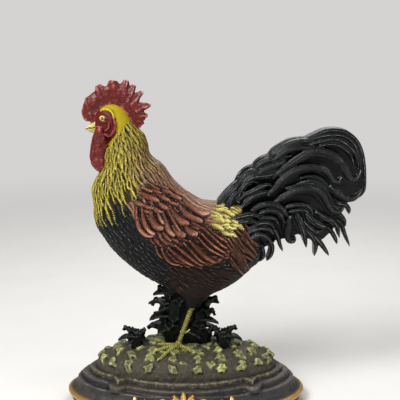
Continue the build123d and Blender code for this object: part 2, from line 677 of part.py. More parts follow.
@lru_cache
def body_outside(grow):
    return body_form(grow) + thigh_form(-1, grow) + thigh_form(1, grow)


def hackle_zone():
    edge = Curve() + [Spline(*HACKLE_EDGE), Polyline(HACKLE_EDGE[-1], *HACKLE_TOP, HACKLE_EDGE[0])]
    return extrude(SIDE_VIEW * make_face(edge), amount=WIDE, both=True)


def saddle_zone():
    edge = Curve() + [Spline(*SADDLE_FRONT)]
    corners = [(WIDE, SADDLE_FRONT[-1][1]), (WIDE, SADDLE_FRONT[0][1])]
    edge += Polyline(SADDLE_FRONT[-1], *corners, SADDLE_FRONT[0])
    return extrude(SIDE_VIEW * make_face(edge), amount=WIDE, both=True)


def beak():
    """Hooked upper beak over a short lower jaw."""
    halves = []
    for root, tip, half in ((BEAK_ROOT, BEAK_TIP, BEAK_ROOT_HALF), (JAW_ROOT, JAW_TIP, JAW_ROOT_HALF)):
        start, end = in_body(root), in_body(tip)
        axis = end - start
        base = Plane(origin=start, x_dir=(0, 1, 0), z_dir=axis)
        middle = base.offset(BEAK_MIDDLE * axis.length) * Pos(0, BEAK_HOOK * half[0])
        point = base.offset(axis.length)
        sections = [base * Ellipse(half[1], half[0]), point * Circle(BEAK_TIP_RADIUS)]
        sections.insert(1, middle * Ellipse(BEAK_MIDDLE_SHARE * half[1], BEAK_MIDDLE_SHARE * half[0]))
        halves.append(loft(sections))
    return halves[0] + halves[1]


def body_skin():
    """Outside of the figure: loft, raised plumage, thighs, beak and eyes."""
    raised = [
        body_form(HACKLE_RISE) & hackle_zone(),
        body_form(WING_RISE) & side_prism(WING_OUTLINE, -WIDE, WIDE),
        body_form(SADDLE_RISE) & saddle_zone(),
    ]
    eyes = [Pos(in_body(EYE_CENTRE, side * EYE_Y)) * Sphere(EYE_RADIUS) for side in (-1, 1)]
    thighs = [thigh_form(side, 0) for side in (-1, 1)]
    return body_form(0) + raised + eyes + thighs + [beak()]


def station_centre(index):
    station = BODY_STATIONS[index]
    return ((station.back[0] + station.front[0]) / 2, (station.back[1] + station.front[1]) / 2)


def screw_seat(index):
    """How far from the seam a shell screw's head seats."""
    return BODY_STATIONS[index].half_width - HEAD_SINK - SCREW_HEAD_HEIGHT


def comb_tenon(clearance):
    length, height = COMB_TENON
    block = Box(length + 2 * clearance, 2 * (COMB_TENON_HALF_THICKNESS + clearance), height + 2 * clearance)
    return Pos(in_body(COMB_TENON_CENTRE)) * block


def tail_tenon(clearance):
    length, height = TAIL_TENON
    block = Box(length + 2 * clearance, 2 * (TAIL_TENON_HALF_THICKNESS + clearance), height + 2 * clearance)
    return Pos(in_body(TAIL_TENON_CENTRE)) * block


def wattle_peg(side, clearance):
    plane = Plane(origin=in_body(WATTLE_PEG, side * WATTLE_PEG_Y))
    return extrude(plane * Circle(WATTLE_PEG_RADIUS + clearance), amount=WATTLE_PEG_LENGTH + clearance)


def comb_pin(clearance=0.0):
    half = COMB_PIN_HALF_LENGTH + clearance
    return rod_along_y(COMB_PIN, COMB_PIN_RADIUS + clearance, -half, half)


def tail_pin(clearance=0.0):
    half = TAIL_PIN_HALF_LENGTH + clearance
    return rod_along_y(TAIL_PIN, TAIL_PIN_RADIUS + clearance, -half, half)


def shell_pins(clearance=0.0):
    half = PIN_LENGTH / 2 + clearance
    return [rod_along_y(station_centre(i), PIN_RADIUS + clearance, -half, half) for i in PIN_STATIONS]


def shell_screws():
    screws = []
    for i in SCREW_STATIONS:
        seat = screw_seat(i)
        place = Plane(origin=in_body(station_centre(i), seat), z_dir=(0, -1, 0))
        screws.append(place * slotted_screw(seat + SCREW_BITE))
    return screws


def screw_holes():
    """Tapped bore in the left half, clearance bore and head recess in the right half."""
    holes = []
    for i in SCREW_STATIONS:
        centre, seat = station_centre(i), screw_seat(i)
        holes.append(rod_along_y(centre, SCREW_RADIUS, -SCREW_BITE, 0))
        holes.append(rod_along_y(centre, SCREW_RADIUS + SCREW_CLEARANCE, 0, seat))
        holes.append(rod_along_y(centre, SCREW_HEAD_RADIUS + SCREW_CLEARANCE, seat, WIDE))
    return holes


def inner_room():
    """Hollow of the figure, less the bosses for screws and pins and the pad for the tie rod."""
    pad = Plane(origin=in_body((0, -BELLY_PAD_HEIGHT))) * Circle(BELLY_PAD_RADIUS)
    posts = [extrude(pad, amount=2 * BELLY_PAD_HEIGHT)]
    for indices, radius in ((SCREW_STATIONS, SCREW_BOSS_RADIUS), (PIN_STATIONS, PIN_BOSS_RADIUS)):
        posts += [rod_along_y(station_centre(i), radius, -WIDE, WIDE) for i in indices]
    return body_loft(BODY_STATIONS[2:-1], -BODY_WALL) - posts


def body_shells():
    """The two hollow halves of the figure, parted in the plane Y = 0."""
    rod_bore = Plane(origin=in_body((0, -STANCE))) * Circle(ROD_RADIUS + ROD_CLEARANCE)
    cuts = [inner_room(), extrude(rod_bore, amount=2 * STANCE)] + shell_pins(PEG_CLEARANCE)
    cuts += [comb_tenon(PEG_CLEARANCE), tail_tenon(PEG_CLEARANCE)]
    cuts += [comb_pin(PEG_CLEARANCE), tail_pin(PEG_CLEARANCE)]
    cuts += [leg_thigh_peg(-1, PEG_CLEARANCE), wattle_peg(-1, PEG_CLEARANCE)]
    blank = split(body_skin(), bisect_by=SIDE_VIEW, keep=Keep.TOP) - cuts
    return blank - screw_holes(), mirror(blank, Plane.XZ) - screw_holes()


def comb():
    """Blade with tapered points, trimmed to the head and held by a tenon."""
    blade = side_prism(COMB_BLADE, -COMB_HALF_THICKNESS, COMB_HALF_THICKNESS)
    blade = fillet(blade.edges(), COMB_EDGE_ROUND)
    centre = in_body(COMB_CENTRE)
    points = []
    for point in COMB_POINTS:
        axis = in_body(point.tip) - centre
        base = Plane(origin=centre, x_dir=(0, 1, 0), z_dir=axis)
        cuts = []
        for cut in COMB_POINT_CUTS:
            half_width = cut.width * point.half_width + COMB_POINT_ROOT_GROW * (1 - cut.along)
            section = Ellipse(cut.thickness * COMB_HALF_THICKNESS, half_width)
            cuts.append(base.offset(cut.along * axis.length) * section)
        points.append(loft(cuts))
    blade = blade + points
    blade -= body_form(SEAT_GAP)
    return blade + comb_tenon(0) - comb_pin(PEG_CLEARANCE)


def wattle(side):
    """A hanging lobe under the face, pegged into the head."""
    sections = []
    for cut in WATTLE_SECTIONS:
        plane = Plane(origin=in_body(cut.centre, side * WATTLE_Y))
        sections.append(plane * Ellipse(cut.half_width, cut.half_thickness))
    lobe = loft(sections) - body_form(SEAT_GAP)
    return lobe + wattle_peg(side, 0)


def sickle_outline(sickle, share):
    """Outline of one sickle feather: its line, widest in the middle, pointed at both ends."""
    line = Spline(*sickle.line)
    left, right = [], []
    for i in range(1, SICKLE_STEPS):
        along = i / SICKLE_STEPS
        half = share * sickle.half_width * math.sin(math.pi * along) ** SICKLE_FULLNESS
        across = (line % along).rotate(Axis.Z, 90)
        left.append(line @ along + across * half)
        right.append(line @ along - across * half)
    root, tip = line @ 0, line @ 1
    return make_face(Curve() + [Spline(root, *left, tip), Spline(tip, *right[::-1], root)])


def sickle_solid(sickle, side):
    """One feather as a flat blade with a ridged top, from the middle plane up to its layer."""
    foot = TAIL_CORE_HALF + sickle.layer * LAYER_STEP
    wide = sickle_outline(sickle, 1.0)
    ridge = sickle_outline(sickle, RIDGE_SHARE)
    heights = [(0, wide), (foot, wide), (foot + SICKLE_RIDGE, ridge)]
    return loft([SIDE_VIEW.offset(-side * height) * outline for height, outline in heights], ruled=True)


def tail_dowels(clearance=0.0):
    half = TAIL_DOWEL_HALF_LENGTH + clearance
    return [rod_along_y(place, TAIL_DOWEL_RADIUS + clearance, -half, half) for place in TAIL_DOWELS]


def tail_left():
    """Left half of the plume: core, layered sickle feathers and half of the tenon."""
    core = side_prism(TAIL_CORE, -TAIL_CORE_HALF, 0)
    plume = core + [sickle_solid(sickle, -1) for sickle in SICKLES]
    plume -= body_form(SADDLE_RISE + SEAT_GAP)
    plume += split(tail_tenon(0), bisect_by=SIDE_VIEW, keep=Keep.TOP)
    return plume - ([tail_pin(PEG_CLEARANCE)] + tail_dowels(PEG_CLEARANCE))


def all_pieces():
    """Every piece by its name. Right-hand pieces that match the left are mirrored."""
    left_shell, right_shell = body_shells()
    across = Plane.XZ
    pieces = {
        "felt_pad": felt_pad(),
        "plinth": plinth(),
        "mound": mound(),
        "mound_screws": mound_screws(),
        "front_ornament": front_ornament(),
        "fern_support": fern_support(),
        "fern_sprig_left": fern_sprig(SPRIG_LEFT),
        "fern_sprig_right": fern_sprig(SPRIG_RIGHT),
        "leg_left": leg(-1),
        "leg_right": leg(1),
        "body_shell_left": left_shell,
        "body_shell_right": right_shell,
        "shell_screws": shell_screws(),
        "shell_pins": shell_pins(),
        "comb": comb(),
        "comb_pin": comb_pin(),
        "wattle_left": wattle(-1),
        "tail_left": tail_left(),
        "tail_pin": tail_pin(),
        "tail_dowels": tail_dowels(),
        "tie_rod": tie_rod(),
        "tie_rod_nut": tie_rod_nut(),
        "tie_rod_washers": tie_rod_washers(),
    }
    for name in ("wattle", "tail"):
        pieces[name + "_right"] = mirror(pieces[name + "_left"], across)
    return pieces


os.makedirs("parts", exist_ok=True)
for node, piece in all_pieces().items():
    shape = Compound(children=piece) if isinstance(piece, list) else piece
    shape.label = node
    export_step(shape, os.path.join("parts", node + ".step"))
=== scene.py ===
# %% [markdown]
# # A painted cast-iron cockerel
#
# The object is a table ornament: a cockerel cast in iron, modelled feather by feather and painted by hand,
# on a grass mound and a moulded plinth. The imported solids give every piece its size and place. This lesson
# dresses them: it models the plumage on the solids, and paints it with a dark ground in the grooves that is
# partly painted shade, and the colour dragged over the ridges with a painted highlight.

# %% Load the imported model
import math

import bmesh
import bpy
import numpy as np
from collections import namedtuple
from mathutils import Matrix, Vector, noise
from mathutils.bvhtree import BVHTree
from mathutils.kdtree import KDTree


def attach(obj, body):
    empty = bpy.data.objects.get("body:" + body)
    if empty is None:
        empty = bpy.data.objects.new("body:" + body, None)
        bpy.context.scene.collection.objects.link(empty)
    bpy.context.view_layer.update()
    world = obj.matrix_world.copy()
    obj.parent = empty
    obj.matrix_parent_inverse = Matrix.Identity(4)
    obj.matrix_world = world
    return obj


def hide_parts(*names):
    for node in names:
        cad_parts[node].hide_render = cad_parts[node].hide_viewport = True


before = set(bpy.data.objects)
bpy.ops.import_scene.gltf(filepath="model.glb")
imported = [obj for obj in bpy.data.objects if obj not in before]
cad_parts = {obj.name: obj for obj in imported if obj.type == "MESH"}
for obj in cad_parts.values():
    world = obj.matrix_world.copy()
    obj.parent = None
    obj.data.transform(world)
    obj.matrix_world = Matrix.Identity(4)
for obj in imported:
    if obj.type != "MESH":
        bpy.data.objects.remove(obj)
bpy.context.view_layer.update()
MM = 0.001
dice = np.random.default_rng(11)
print("nodes:", sorted(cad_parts))

# %% [markdown]
# ## Reading the solids
#
# Everything below is worked out in millimetres, because that is how a pattern maker thinks of it, and turned
# into metres only when a mesh is made. The solids are read as plain arrays of corners and faces.

# %% Corners and faces
def read_rows(items, name, width, kind=float):
    """One value of all the corners or edges of a mesh, in rows."""
    flat = np.empty(len(items) * width, kind)
    items.foreach_get(name, flat)
    return flat.reshape(-1, width)


def node_arrays(*nodes):
    """Corners in millimetres and faces of some solids, joined."""
    corners, faces = [], []
    start = 0
    for node in nodes:
        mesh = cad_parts[node].data
        corners.append(read_rows(mesh.vertices, "co", 3) / MM)
        faces += [[start + i for i in face.vertices] for face in mesh.polygons]
        start += len(mesh.vertices)
    return np.vstack(corners), faces


def into_scene(name, data):
    """A new object in the scene, with its mesh, lamp or camera."""
    thing = bpy.data.objects.new(name, data)
    bpy.context.scene.collection.objects.link(thing)
    return thing


def new_piece(name, corners, faces):
    """A smoothly shaded mesh object from millimetre corners."""
    mesh = bpy.data.meshes.new(name)
    mesh.from_pydata([tuple(c) for c in np.asarray(corners) * MM], [], faces)
    mesh.update()
    mesh.polygons.foreach_set("use_smooth", [True] * len(mesh.polygons))
    return into_scene(name, mesh)


def tree_of(corners, faces):
    """A surface that rays can be shot at."""
    return BVHTree.FromPolygons([Vector(c) for c in corners], faces)


def finder_of(places):
    """A search tree that finds the listed place nearest to a point."""
    finder = KDTree(len(places))
    for i, place in enumerate(places):
        finder.insert(place, i)
    finder.balance()
    return finder


def corner_array(piece):
    return read_rows(piece.data.vertices, "co", 3) / MM


def set_corners(piece, corners):
    piece.data.vertices.foreach_set("co", (corners * MM).ravel())
    piece.data.update()


def grid_faces(rows, columns):
    """Quads of rows of corners whose last column joins the first, with both ends closed."""
    faces = []
    for i in range(rows - 1):
        for j in range(columns):
            k = (j + 1) % columns
            faces.append([i * columns + j, i * columns + k, (i + 1) * columns + k, (i + 1) * columns + j])
    ends = [list(range(columns))[::-1], [(rows - 1) * columns + j for j in range(columns)]]
    return faces + ends

# %% [markdown]
# ## Working in clay
#
# A founder's pattern is built up from lumps of clay pressed together: a core, then feathers, scales and
# folds. A boolean union of a thousand lumps is slow and fragile, so here the lumps are left to overlap and a
# voxel remesh draws one skin round them all, at under a millimetre, about as fine as sand-cast iron holds.

# %% Lumps that overlap, fused into one casting
FUSE_PULL = 0.4


class Clay:
    """Closed shells that overlap, gathered to be fused into one casting."""

    def __init__(self):
        self.corners, self.faces, self.count = [], [], 0

    def add(self, corners, faces):
        corners = np.asarray(corners, float).reshape(-1, 3)
        self.faces += [[self.count + i for i in face] for face in faces]
        self.corners.append(corners)
        self.count += len(corners)

    def fuse(self, name, voxel, rounds=1):
        """One skin round all the shells, by a voxel remesh, with its steps relaxed."""
        lump = new_piece(name, np.vstack(self.corners), self.faces)
        remesh = lump.modifiers.new("fuse", "REMESH")
        remesh.mode = "VOXEL"
        remesh.voxel_size = voxel * MM
        graph = bpy.context.evaluated_depsgraph_get()
        mesh = bpy.data.meshes.new_from_object(lump.evaluated_get(graph))
        lump.modifiers.clear()
        old = lump.data
        lump.data = mesh
        bpy.data.meshes.remove(old)
        mesh.polygons.foreach_set("use_smooth", [True] * len(mesh.polygons))
        set_corners(lump, relax(corner_array(lump), edge_array(lump), rounds, FUSE_PULL))
        print(name, "fused:", len(mesh.polygons), "faces")
        return lump

# %% Smooth, measure and roughen a casting
def edge_array(piece):
    return read_rows(piece.data.edges, "vertices", 2, int)


def relax(values, edges, rounds, pull=0.5):
    """Smooth numbers or places over a mesh: each corner moves towards the mean of its neighbours."""
    ends, others = edges.ravel(), edges[:, ::-1].ravel()
    count = len(values)
    degree = np.bincount(ends, minlength=count).clip(1)
    columns = values.reshape(count, -1).T
    for _ in range(rounds):
        means = [np.bincount(ends, column[others], count) / degree for column in columns]
        columns = columns + pull * (np.array(means) - columns)
    return columns.T.reshape(values.shape)


def normal_array(piece):
    return read_rows(piece.data.vertex_normals, "vector", 3)


def height_over(piece, rounds):
    """How far each corner stands above the surface around it, in millimetres."""
    corners = corner_array(piece)
    broad = relax(corners, edge_array(piece), rounds)
    return ((corners - broad) * normal_array(piece)).sum(1)


def relief_of(piece, broad, fine, depth):
    """Broad and fine relief together, as a share of a depth; the fine one counts twice."""
    return height_over(piece, broad) / depth + 2 * height_over(piece, fine) / depth


def pebble(piece, size, depth):
    """Push a surface in and out by a noise of the given size, as a cast surface is never quite smooth."""
    corners = corner_array(piece)
    bumps = np.array([noise.noise(Vector(c) / size) for c in corners])
    set_corners(piece, corners + normal_array(piece) * (depth * bumps)[:, None])

# %% Smooth lines and tapered lumps along them
def curve_at(before, start, end, after, t):
    """A place on the smooth curve from start to end, which also heeds the points before and after."""
    bend = 2 * before - 5 * start + 4 * end - after + t * (3 * (start - end) + after - before)
    return start + 0.5 * t * (end - before + t * bend)


def smooth_line(points, count):
    """Places along a smooth line through points, evenly spread in the line's own measure."""
    points = np.asarray(points, float)
    padded = np.vstack([2 * points[0] - points[1], points, 2 * points[-1] - points[-2]])
    places = []
    for s in np.linspace(0, len(points) - 1, count):
        i = min(int(s), len(points) - 2)
        places.append(curve_at(*padded[i:i + 4], s - i))
    return np.array(places)


def lobe(line, half_widths, half_thickness, flat=(0, 1, 0), sides=14):
    """A tapered lump along a line: half-widths across it, and its half-thickness along the flat direction."""
    line = np.asarray(line, float)
    flat = np.asarray(flat, float)
    ahead = np.gradient(line, axis=0)
    across = np.cross(ahead, flat)
    across /= np.linalg.norm(across, axis=1)[:, None]
    turns = np.linspace(0, 2 * math.pi, sides, endpoint=False)
    widths = np.interp(np.linspace(0, 1, len(line)), np.linspace(0, 1, len(half_widths)), half_widths)
    thick = np.minimum(half_thickness, widths * half_thickness / max(half_widths) + 0.5 * half_thickness)
    rings = [p + np.outer(np.cos(turns) * w, a) + np.outer(np.sin(turns) * t, flat)
             for p, a, w, t in zip(line, across, widths, thick)]
    return np.array(rings), grid_faces(len(line), sides)

# %% [markdown]
# ## The paint shop
#
# A finish is a small graph of shader nodes. Linking nodes by hand hides the idea, so a wire that knows
# arithmetic is wrapped round a socket: `1 - mask` or `0.3 * grain + ridge` add their own Math nodes. Every
# other node comes from one method. What varies goes to colour, roughness, metal or bump, and what is the same
# all over is set on the shader itself.

# %% A wire with arithmetic
class Wire:
    """One output of a graph's nodes, with arithmetic."""

    def __init__(self, graph, socket):
        self.graph, self.socket = graph, socket

    def maths(self, operation, first, second):
        return self.graph.add("ShaderNodeMath", {"operation": operation}, {0: first, 1: second})

    def __add__(self, other):
        return self.maths("ADD", self, other)

    def __sub__(self, other):
        return self.maths("SUBTRACT", self, other)

    def __rsub__(self, other):
        return self.maths("SUBTRACT", other, self)

    def __mul__(self, other):
        return self.maths("MULTIPLY", self, other)

    __radd__, __rmul__ = __add__, __mul__

    def between(self, low, high):
        """A soft step from 0 at low to 1 at high."""
        sockets = {"Value": self, "From Min": low, "From Max": high}
        return self.graph.add("ShaderNodeMapRange", {"interpolation_type": "SMOOTHSTEP"}, sockets)

# %% Graphs of nodes, and finishes
class Graph:
    """A tree of shader nodes that is written as expressions."""

    def __init__(self, tree):
        self.tree = tree

    def join(self, value, socket):
        if isinstance(value, Wire):
            self.tree.links.new(value.socket, socket)
        else:
            socket.default_value = (*value, 1.0) if socket.type == "RGBA" else value

    def add(self, kind, settings, sockets, out=0):
        """Any node: its type, its settings, the values or wires of its sockets, and the output to use."""
        node = self.tree.nodes.new(kind)
        for name, value in settings.items():
            setattr(node, name, value)
        for name, value in sockets.items():
            self.join(value, node.inputs[name])
        return Wire(self, node.outputs[out])

    def number(self, name):
        return self.add("ShaderNodeAttribute", {"attribute_name": name}, {}, "Fac")

    def colour(self, name):
        return self.add("ShaderNodeAttribute", {"attribute_name": name}, {}, "Color")

    def grain(self, size, detail=3.0):
        """A noise whose lumps are about size millimetres across."""
        place = self.add("ShaderNodeTexCoord", {}, {}, "Object")
        sockets = {"Vector": place, "Scale": 1 / (size * MM), "Detail": detail}
        return self.add("ShaderNodeTexNoise", {}, sockets)

    def mix(self, factor, first, second):
        return self.add("ShaderNodeMix", {"data_type": "RGBA"}, {0: factor, 6: first, 7: second}, 2)

    def bump(self, height, depth):
        """A bump of a depth in millimetres."""
        return self.add("ShaderNodeBump", {}, {"Height": height, "Strength": 1.0, "Distance": depth * MM})


class Finish(Graph):
    """A material with one Principled shader; constants go straight to its sockets."""

    def __init__(self, name, constants):
        self.material = bpy.data.materials.new(name)
        self.material.use_nodes = True
        super().__init__(self.material.node_tree)
        self.shader = self.tree.nodes["Principled BSDF"]
        for socket, value in constants.items():
            self.shader.inputs[socket].default_value = value

    def feed(self, **values):
        """Link wires to the shader's sockets, named with underscores for spaces."""
        for name, value in values.items():
            self.join(value, self.shader.inputs[name.replace("_", " ").title()])

# %% Colours and numbers on the corners of a piece
def tint(red, green, blue):
    """A colour as a painter reads it on a screen, 0 to 255, in the linear light that shaders use."""
    return tuple(((c / 255 + 0.055) / 1.055) ** 2.4 for c in (red, green, blue))


def set_number(piece, name, values):
    layer = piece.data.attributes.new(name, "FLOAT", "POINT")
    layer.data.foreach_set("value", np.asarray(values, np.float32))


def set_colour(piece, name, colours):
    layer = piece.data.attributes.new(name, "FLOAT_COLOR", "POINT")
    full = np.ones((len(colours), 4), np.float32)
    full[:, :3] = colours
    layer.data.foreach_set("color", full.ravel())

# %% [markdown]
# ## Enamel over a dark ground, with painted shade and highlight
#
# The real casting was dipped in a dark ground, brushed with enamel and handled for years. So there are three
# layers: the ground, which stays in the grooves and partly stands for painted shade; the enamel; and a paler
# dry drag where ridges catch the brush and the light, which is partly a painted highlight. The modeller's
# relief decides where each one shows, through a number called ridge on every corner, and a grain breaks up
# the borders so that they look brushed.

# %% The enamel finish
BARB_PITCH = 1.25
COVER_EDGE, DRAG_AND_HIGHLIGHT_EDGE, GRIME_EDGE = (0.22, 0.5), (0.52, 0.86), (0.5, 0.72)


def enamel(name, gloss, roughness):
    """Painted iron: the piece's own numbers and colours say where ground and painted shade, paint, drag and
    painted highlight, and barbs lie.
    """
    finish = Finish(name, {"Specular IOR Level": gloss})
    ridge, barb = finish.number("ridge"), finish.number("barb")
    brush, speck = finish.grain(3.0), finish.grain(0.9)
    score = finish.add("ShaderNodeMath", {"operation": "SINE"}, {0: (2 * math.pi / BARB_PITCH) * barb})
    stroke = ridge + 0.09 * score
    cover = (stroke + 0.36 * (brush - 0.5) + 0.16 * (speck - 0.5)).between(*COVER_EDGE)
    drag = (stroke + 0.3 * (brush - 0.5) + 0.3 * (speck - 0.5)).between(*DRAG_AND_HIGHLIGHT_EDGE)
    # Low relief shows the ground colour, partly as painted shade in the grooves; high relief takes the pale
    # drag colour, partly as a painted highlight.
    painted = finish.mix(cover, finish.colour("ground"), finish.colour("paint"))
    painted = finish.mix(0.9 * drag, painted, finish.colour("drag"))
    grime = finish.grain(14.0).between(*GRIME_EDGE)
    finish.feed(base_color=finish.mix(0.2 * grime, painted, finish.colour("ground")))
    finish.feed(roughness=roughness + 0.22 * (brush - 0.5) - 0.1 * drag + 0.12 * grime)
    finish.feed(normal=finish.bump(speck + 0.6 * brush + 0.5 * score, 0.16))
    return finish.material

# %% Hand a piece over to the frame
def hand_over(piece, slot, material, *nodes):
    """Give a piece its finish, hang it under the root body, and hide the solids it stands for."""
    piece.data.materials.clear()
    piece.data.materials.append(material)
    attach(piece, "root")
    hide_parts(*nodes)
    print(piece.name, "stands for", *nodes)

# %% [markdown]
# ## The skin that carries the feathers
#
# Feathers lie on a smooth body, so the body's skin comes first. It could be drawn again by hand, but then it
# would drift from the casting. Here rays are shot at the two body shells from outside, ring by ring from the
# beak to the tail, and where they land is the skin. Each ring has a centre, in side view, and the tilt of its
# back direction.

# %% Rings along the body
Ring = namedtuple("Ring", "x z tilt")
RINGS = [
    Ring(-89, 288, 82), Ring(-74, 288, 77), Ring(-68, 284, 69), Ring(-65, 273, 51), Ring(-64, 260, 41),
    Ring(-62, 246, 31), Ring(-59, 229, 30), Ring(-50, 211, 29), Ring(-33, 191, 33), Ring(-11, 173, 46),
    Ring(15, 162, 63), Ring(43, 159, 78), Ring(60, 164, 85), Ring(71, 167, 91),
]
LAST_RING = len(RINGS) - 1


def ring_at(u):
    """Centre and back direction of a ring, smoothly between the listed ones."""
    i = min(int(u), LAST_RING - 1)
    nearby = [np.array(RINGS[min(max(k, 0), LAST_RING)], float) for k in range(i - 1, i + 3)]
    x, z, tilt = curve_at(*nearby, u - i)
    turn = math.radians(tilt)
    return Vector((x, 0, z)), Vector((math.cos(turn), 0, math.sin(turn)))

# %% [markdown]
# Laid on the casting as it is, the feathers would make the bird stouter than the real one. So the shells are
# first drawn in by a few millimetres along the nape, the back and the chest, by an amount for each ring, and
# the feathers laid on them give the bird its outline.

# %% Draw the shells in to leave room for the feathers
RING_STEP = 0.05
BACK_IN = [
    (2.6, 0), (3.5, 4.5), (4.2, 6.0), (5, 3.2), (6, 6.2), (7, 5.5), (8, 5.5), (9, 6.5), (10, 5.0),
    (11, 3.0), (12, 0),
]
CHEST_IN = [(3.8, 0), (5, 4.0), (6, 4.5), (7, 3.0), (7.8, 0)]
FULL_AT = 24.0


def drawn_in(corners):
    """The shells' corners drawn in at the nape, back and chest, in full at some way from the middle."""
    steps = np.arange(0, LAST_RING, RING_STEP)
    centres, backs = np.array([ring_at(u) for u in steps]).transpose(1, 0, 2)
    finder = finder_of(centres)
    nearest = np.array([finder.find((x, 0, z))[1] for x, _, z in corners])
    rise = ((corners - centres[nearest]) * backs[nearest]).sum(1) / FULL_AT
    back, chest = (np.interp(steps[nearest], *np.transpose(table)) for table in (BACK_IN, CHEST_IN))
    return corners - backs[nearest] * (back * rise.clip(0, 1) + chest * rise.clip(-1, 0))[:, None]


shell_corners, shell_faces = node_arrays("body_shell_left", "body_shell_right")
as_cast = shell_corners
shell_corners = drawn_in(as_cast)
shell_tree = tree_of(shell_corners, shell_faces)
print("drawn in by up to", np.linalg.norm(shell_corners - as_cast, axis=1).max().round(1), "mm")

# %% Cast the skin
RING_REACH = 62.0
SKIN_ROWS, SKIN_COLUMNS, SKIN_ROUNDS = 105, 96, 4
LEFT = Vector((0, -1, 0))


def cast_skin(u, angle):
    """Where a ray from outside meets the body: angle 0 is the back, and the bird's left is positive."""
    centre, back = ring_at(u)
    out = back * math.cos(angle) + LEFT * math.sin(angle)
    hit = shell_tree.ray_cast(centre + out * RING_REACH, -out, RING_REACH)
    return hit[0] if hit[0] else centre + out


rows = np.linspace(0, LAST_RING, SKIN_ROWS)
turns = np.linspace(0, 2 * math.pi, SKIN_COLUMNS, endpoint=False)
skin = np.array([[cast_skin(u, turn) for turn in turns] for u in rows])
for _ in range(SKIN_ROUNDS):
    skin[1:-1] = 0.5 * skin[1:-1] + 0.25 * (skin[2:] + skin[:-2])
    skin = 0.5 * skin + 0.25 * (np.roll(skin, 1, 1) + np.roll(skin, -1, 1))
skin_faces = grid_faces(SKIN_ROWS, SKIN_COLUMNS)
skin_tree = tree_of(skin.reshape(-1, 3), skin_faces)
print("skin:", skin.min((0, 1)).round(), skin.max((0, 1)).round())


def side_place(x, z, side):
    """The place on the skin behind a side-view point, seen from the bird's left (-1) or right (1)."""
    hit = skin_tree.ray_cast(Vector((x, side * RING_REACH, z)), Vector((0, -side, 0)))
    return hit[0] if hit[0] else skin_tree.find_nearest(Vector((x, side * RING_REACH, z)))[0]

# %% [markdown]
# ## One feather
#
# A feather on a casting is a low shell: a blade that follows the body, thickest along its shaft, scored along
# its length and lifted at the tip so that it overlaps the next one. It could be a flat card laid on the skin,
# but a card has no body and leaves no groove. Here each blade walks over the skin from its root in small
# steps, and its top and underside are closed into a shell, ready to be fused.

# %% The shape of a blade
Blade = namedtuple("Blade", "length half_width tip seat lift thick shaft wave")
ROOT_SHARE, WIDE_AT, LEAST_SHARE = 0.55, 0.35, 0.12
CROWN_FALL, CROWN_POWER, SHAFT_WIDTH = 0.9, 2.2, 0.2
LIFT_POWER, CLOSE_POWER = 1.4, 8


def blade_width(blade, along):
    """Half-width along a blade: quickly wide at the root, then rounded or pointed by the tip's power."""
    spread = ROOT_SHARE + (1 - ROOT_SHARE) * min(1.0, along / WIDE_AT)
    taper = max(0.0, 1 - along ** blade.tip) ** (1 / blade.tip)
    return blade.half_width * max(LEAST_SHARE, spread * taper)


def blade_height(blade, along, across):
    """Height of a blade's top over the skin: seat, lift, rounded crown and shaft, closing at the tip."""
    close = max(0.0, 1 - along ** CLOSE_POWER) ** 0.5
    crown = blade.thick * (1 - CROWN_FALL * abs(across) ** CROWN_POWER)
    shaft = blade.shaft * math.exp(-((across / SHAFT_WIDTH) ** 2))
    return close * (blade.seat + blade.lift * along ** LIFT_POWER + crown + shaft)

# %% Feathers on a casting
Mark = namedtuple("Mark", "x y z area along barb tone")
UNDERSIDE = 1.6
STRIDE = 2.0


class Plumage(Clay):
    """Feathers on one casting, with marks that tell the painter which feather each place belongs to."""

    def __init__(self, tree):
        super().__init__()
        self.tree, self.marks, self.number = tree, [], 0

    def walk(self, root, heading, blade):
        """Points, directions and normals along a feather that walks over the surface, swaying a little."""
        steps = max(4, round(blade.length / STRIDE))
        stride, sway = blade.length / steps, dice.uniform(0, 2 * math.pi)
        point, normal = self.tree.find_nearest(Vector(root))[:2]
        ahead = (heading - normal * heading.dot(normal)).normalized()
        path = [(point, ahead, normal)]
        for i in range(steps):
            turn = blade.wave * math.cos(sway + 7.0 * i / steps)
            ahead = (ahead + normal.cross(ahead) * turn * stride).normalized()
            point, normal = self.tree.find_nearest(point + ahead * stride)[:2]
            ahead = (ahead - normal * ahead.dot(normal)).normalized()
            path.append((point, ahead, normal))
        return path

    def trace(self, line, side):
        """The same for a feather that is given as a line in side view."""
        run = np.linalg.norm(np.diff(np.asarray(line, float), axis=0), axis=1).sum()
        spots = [side_place(x, z, side) for x, z in smooth_line(line, max(5, round(run / STRIDE)) + 1)]
        last = len(spots) - 1
        ways = [(spots[min(i + 1, last)] - spots[max(i - 1, 0)]).normalized() for i in range(last + 1)]
        return [(spot, way, self.tree.find_nearest(spot)[1]) for spot, way in zip(spots, ways)]

    def lay(self, path, blade, area, columns=7):
        """One feather along a path."""
        rings = []
        tone = dice.uniform(-1, 1)
        self.number += 1
        for i, (point, ahead, normal) in enumerate(path):
            along = i / (len(path) - 1)
            side = normal.cross(ahead).normalized()
            width = blade_width(blade, along)
            top, under = [], []
            for across in np.linspace(-1, 1, columns):
                place, up = self.tree.find_nearest(point + side * float(across * width))[:2]
                crest = place + up * blade_height(blade, along, across)
                top.append(crest)
                under.append(place - up * UNDERSIDE)
                self.marks.append(Mark(*crest, AREAS.index(area), along, across * width, tone))
            rings.append(top + under[::-1])
        self.add(rings, grid_faces(len(rings), 2 * columns))

# %% [markdown]
# ## Where each kind of feather grows
#
# Seen from the side, a cockerel's coat falls into plain areas: the long hackle on the neck, scales on the
# breast, coverts on the back and wing, long primaries along the wing's lower edge, a pale patch on the saddle
# with long saddle hackles under it, and hair-fine plumes on the thigh. Each area is one outline in side view.

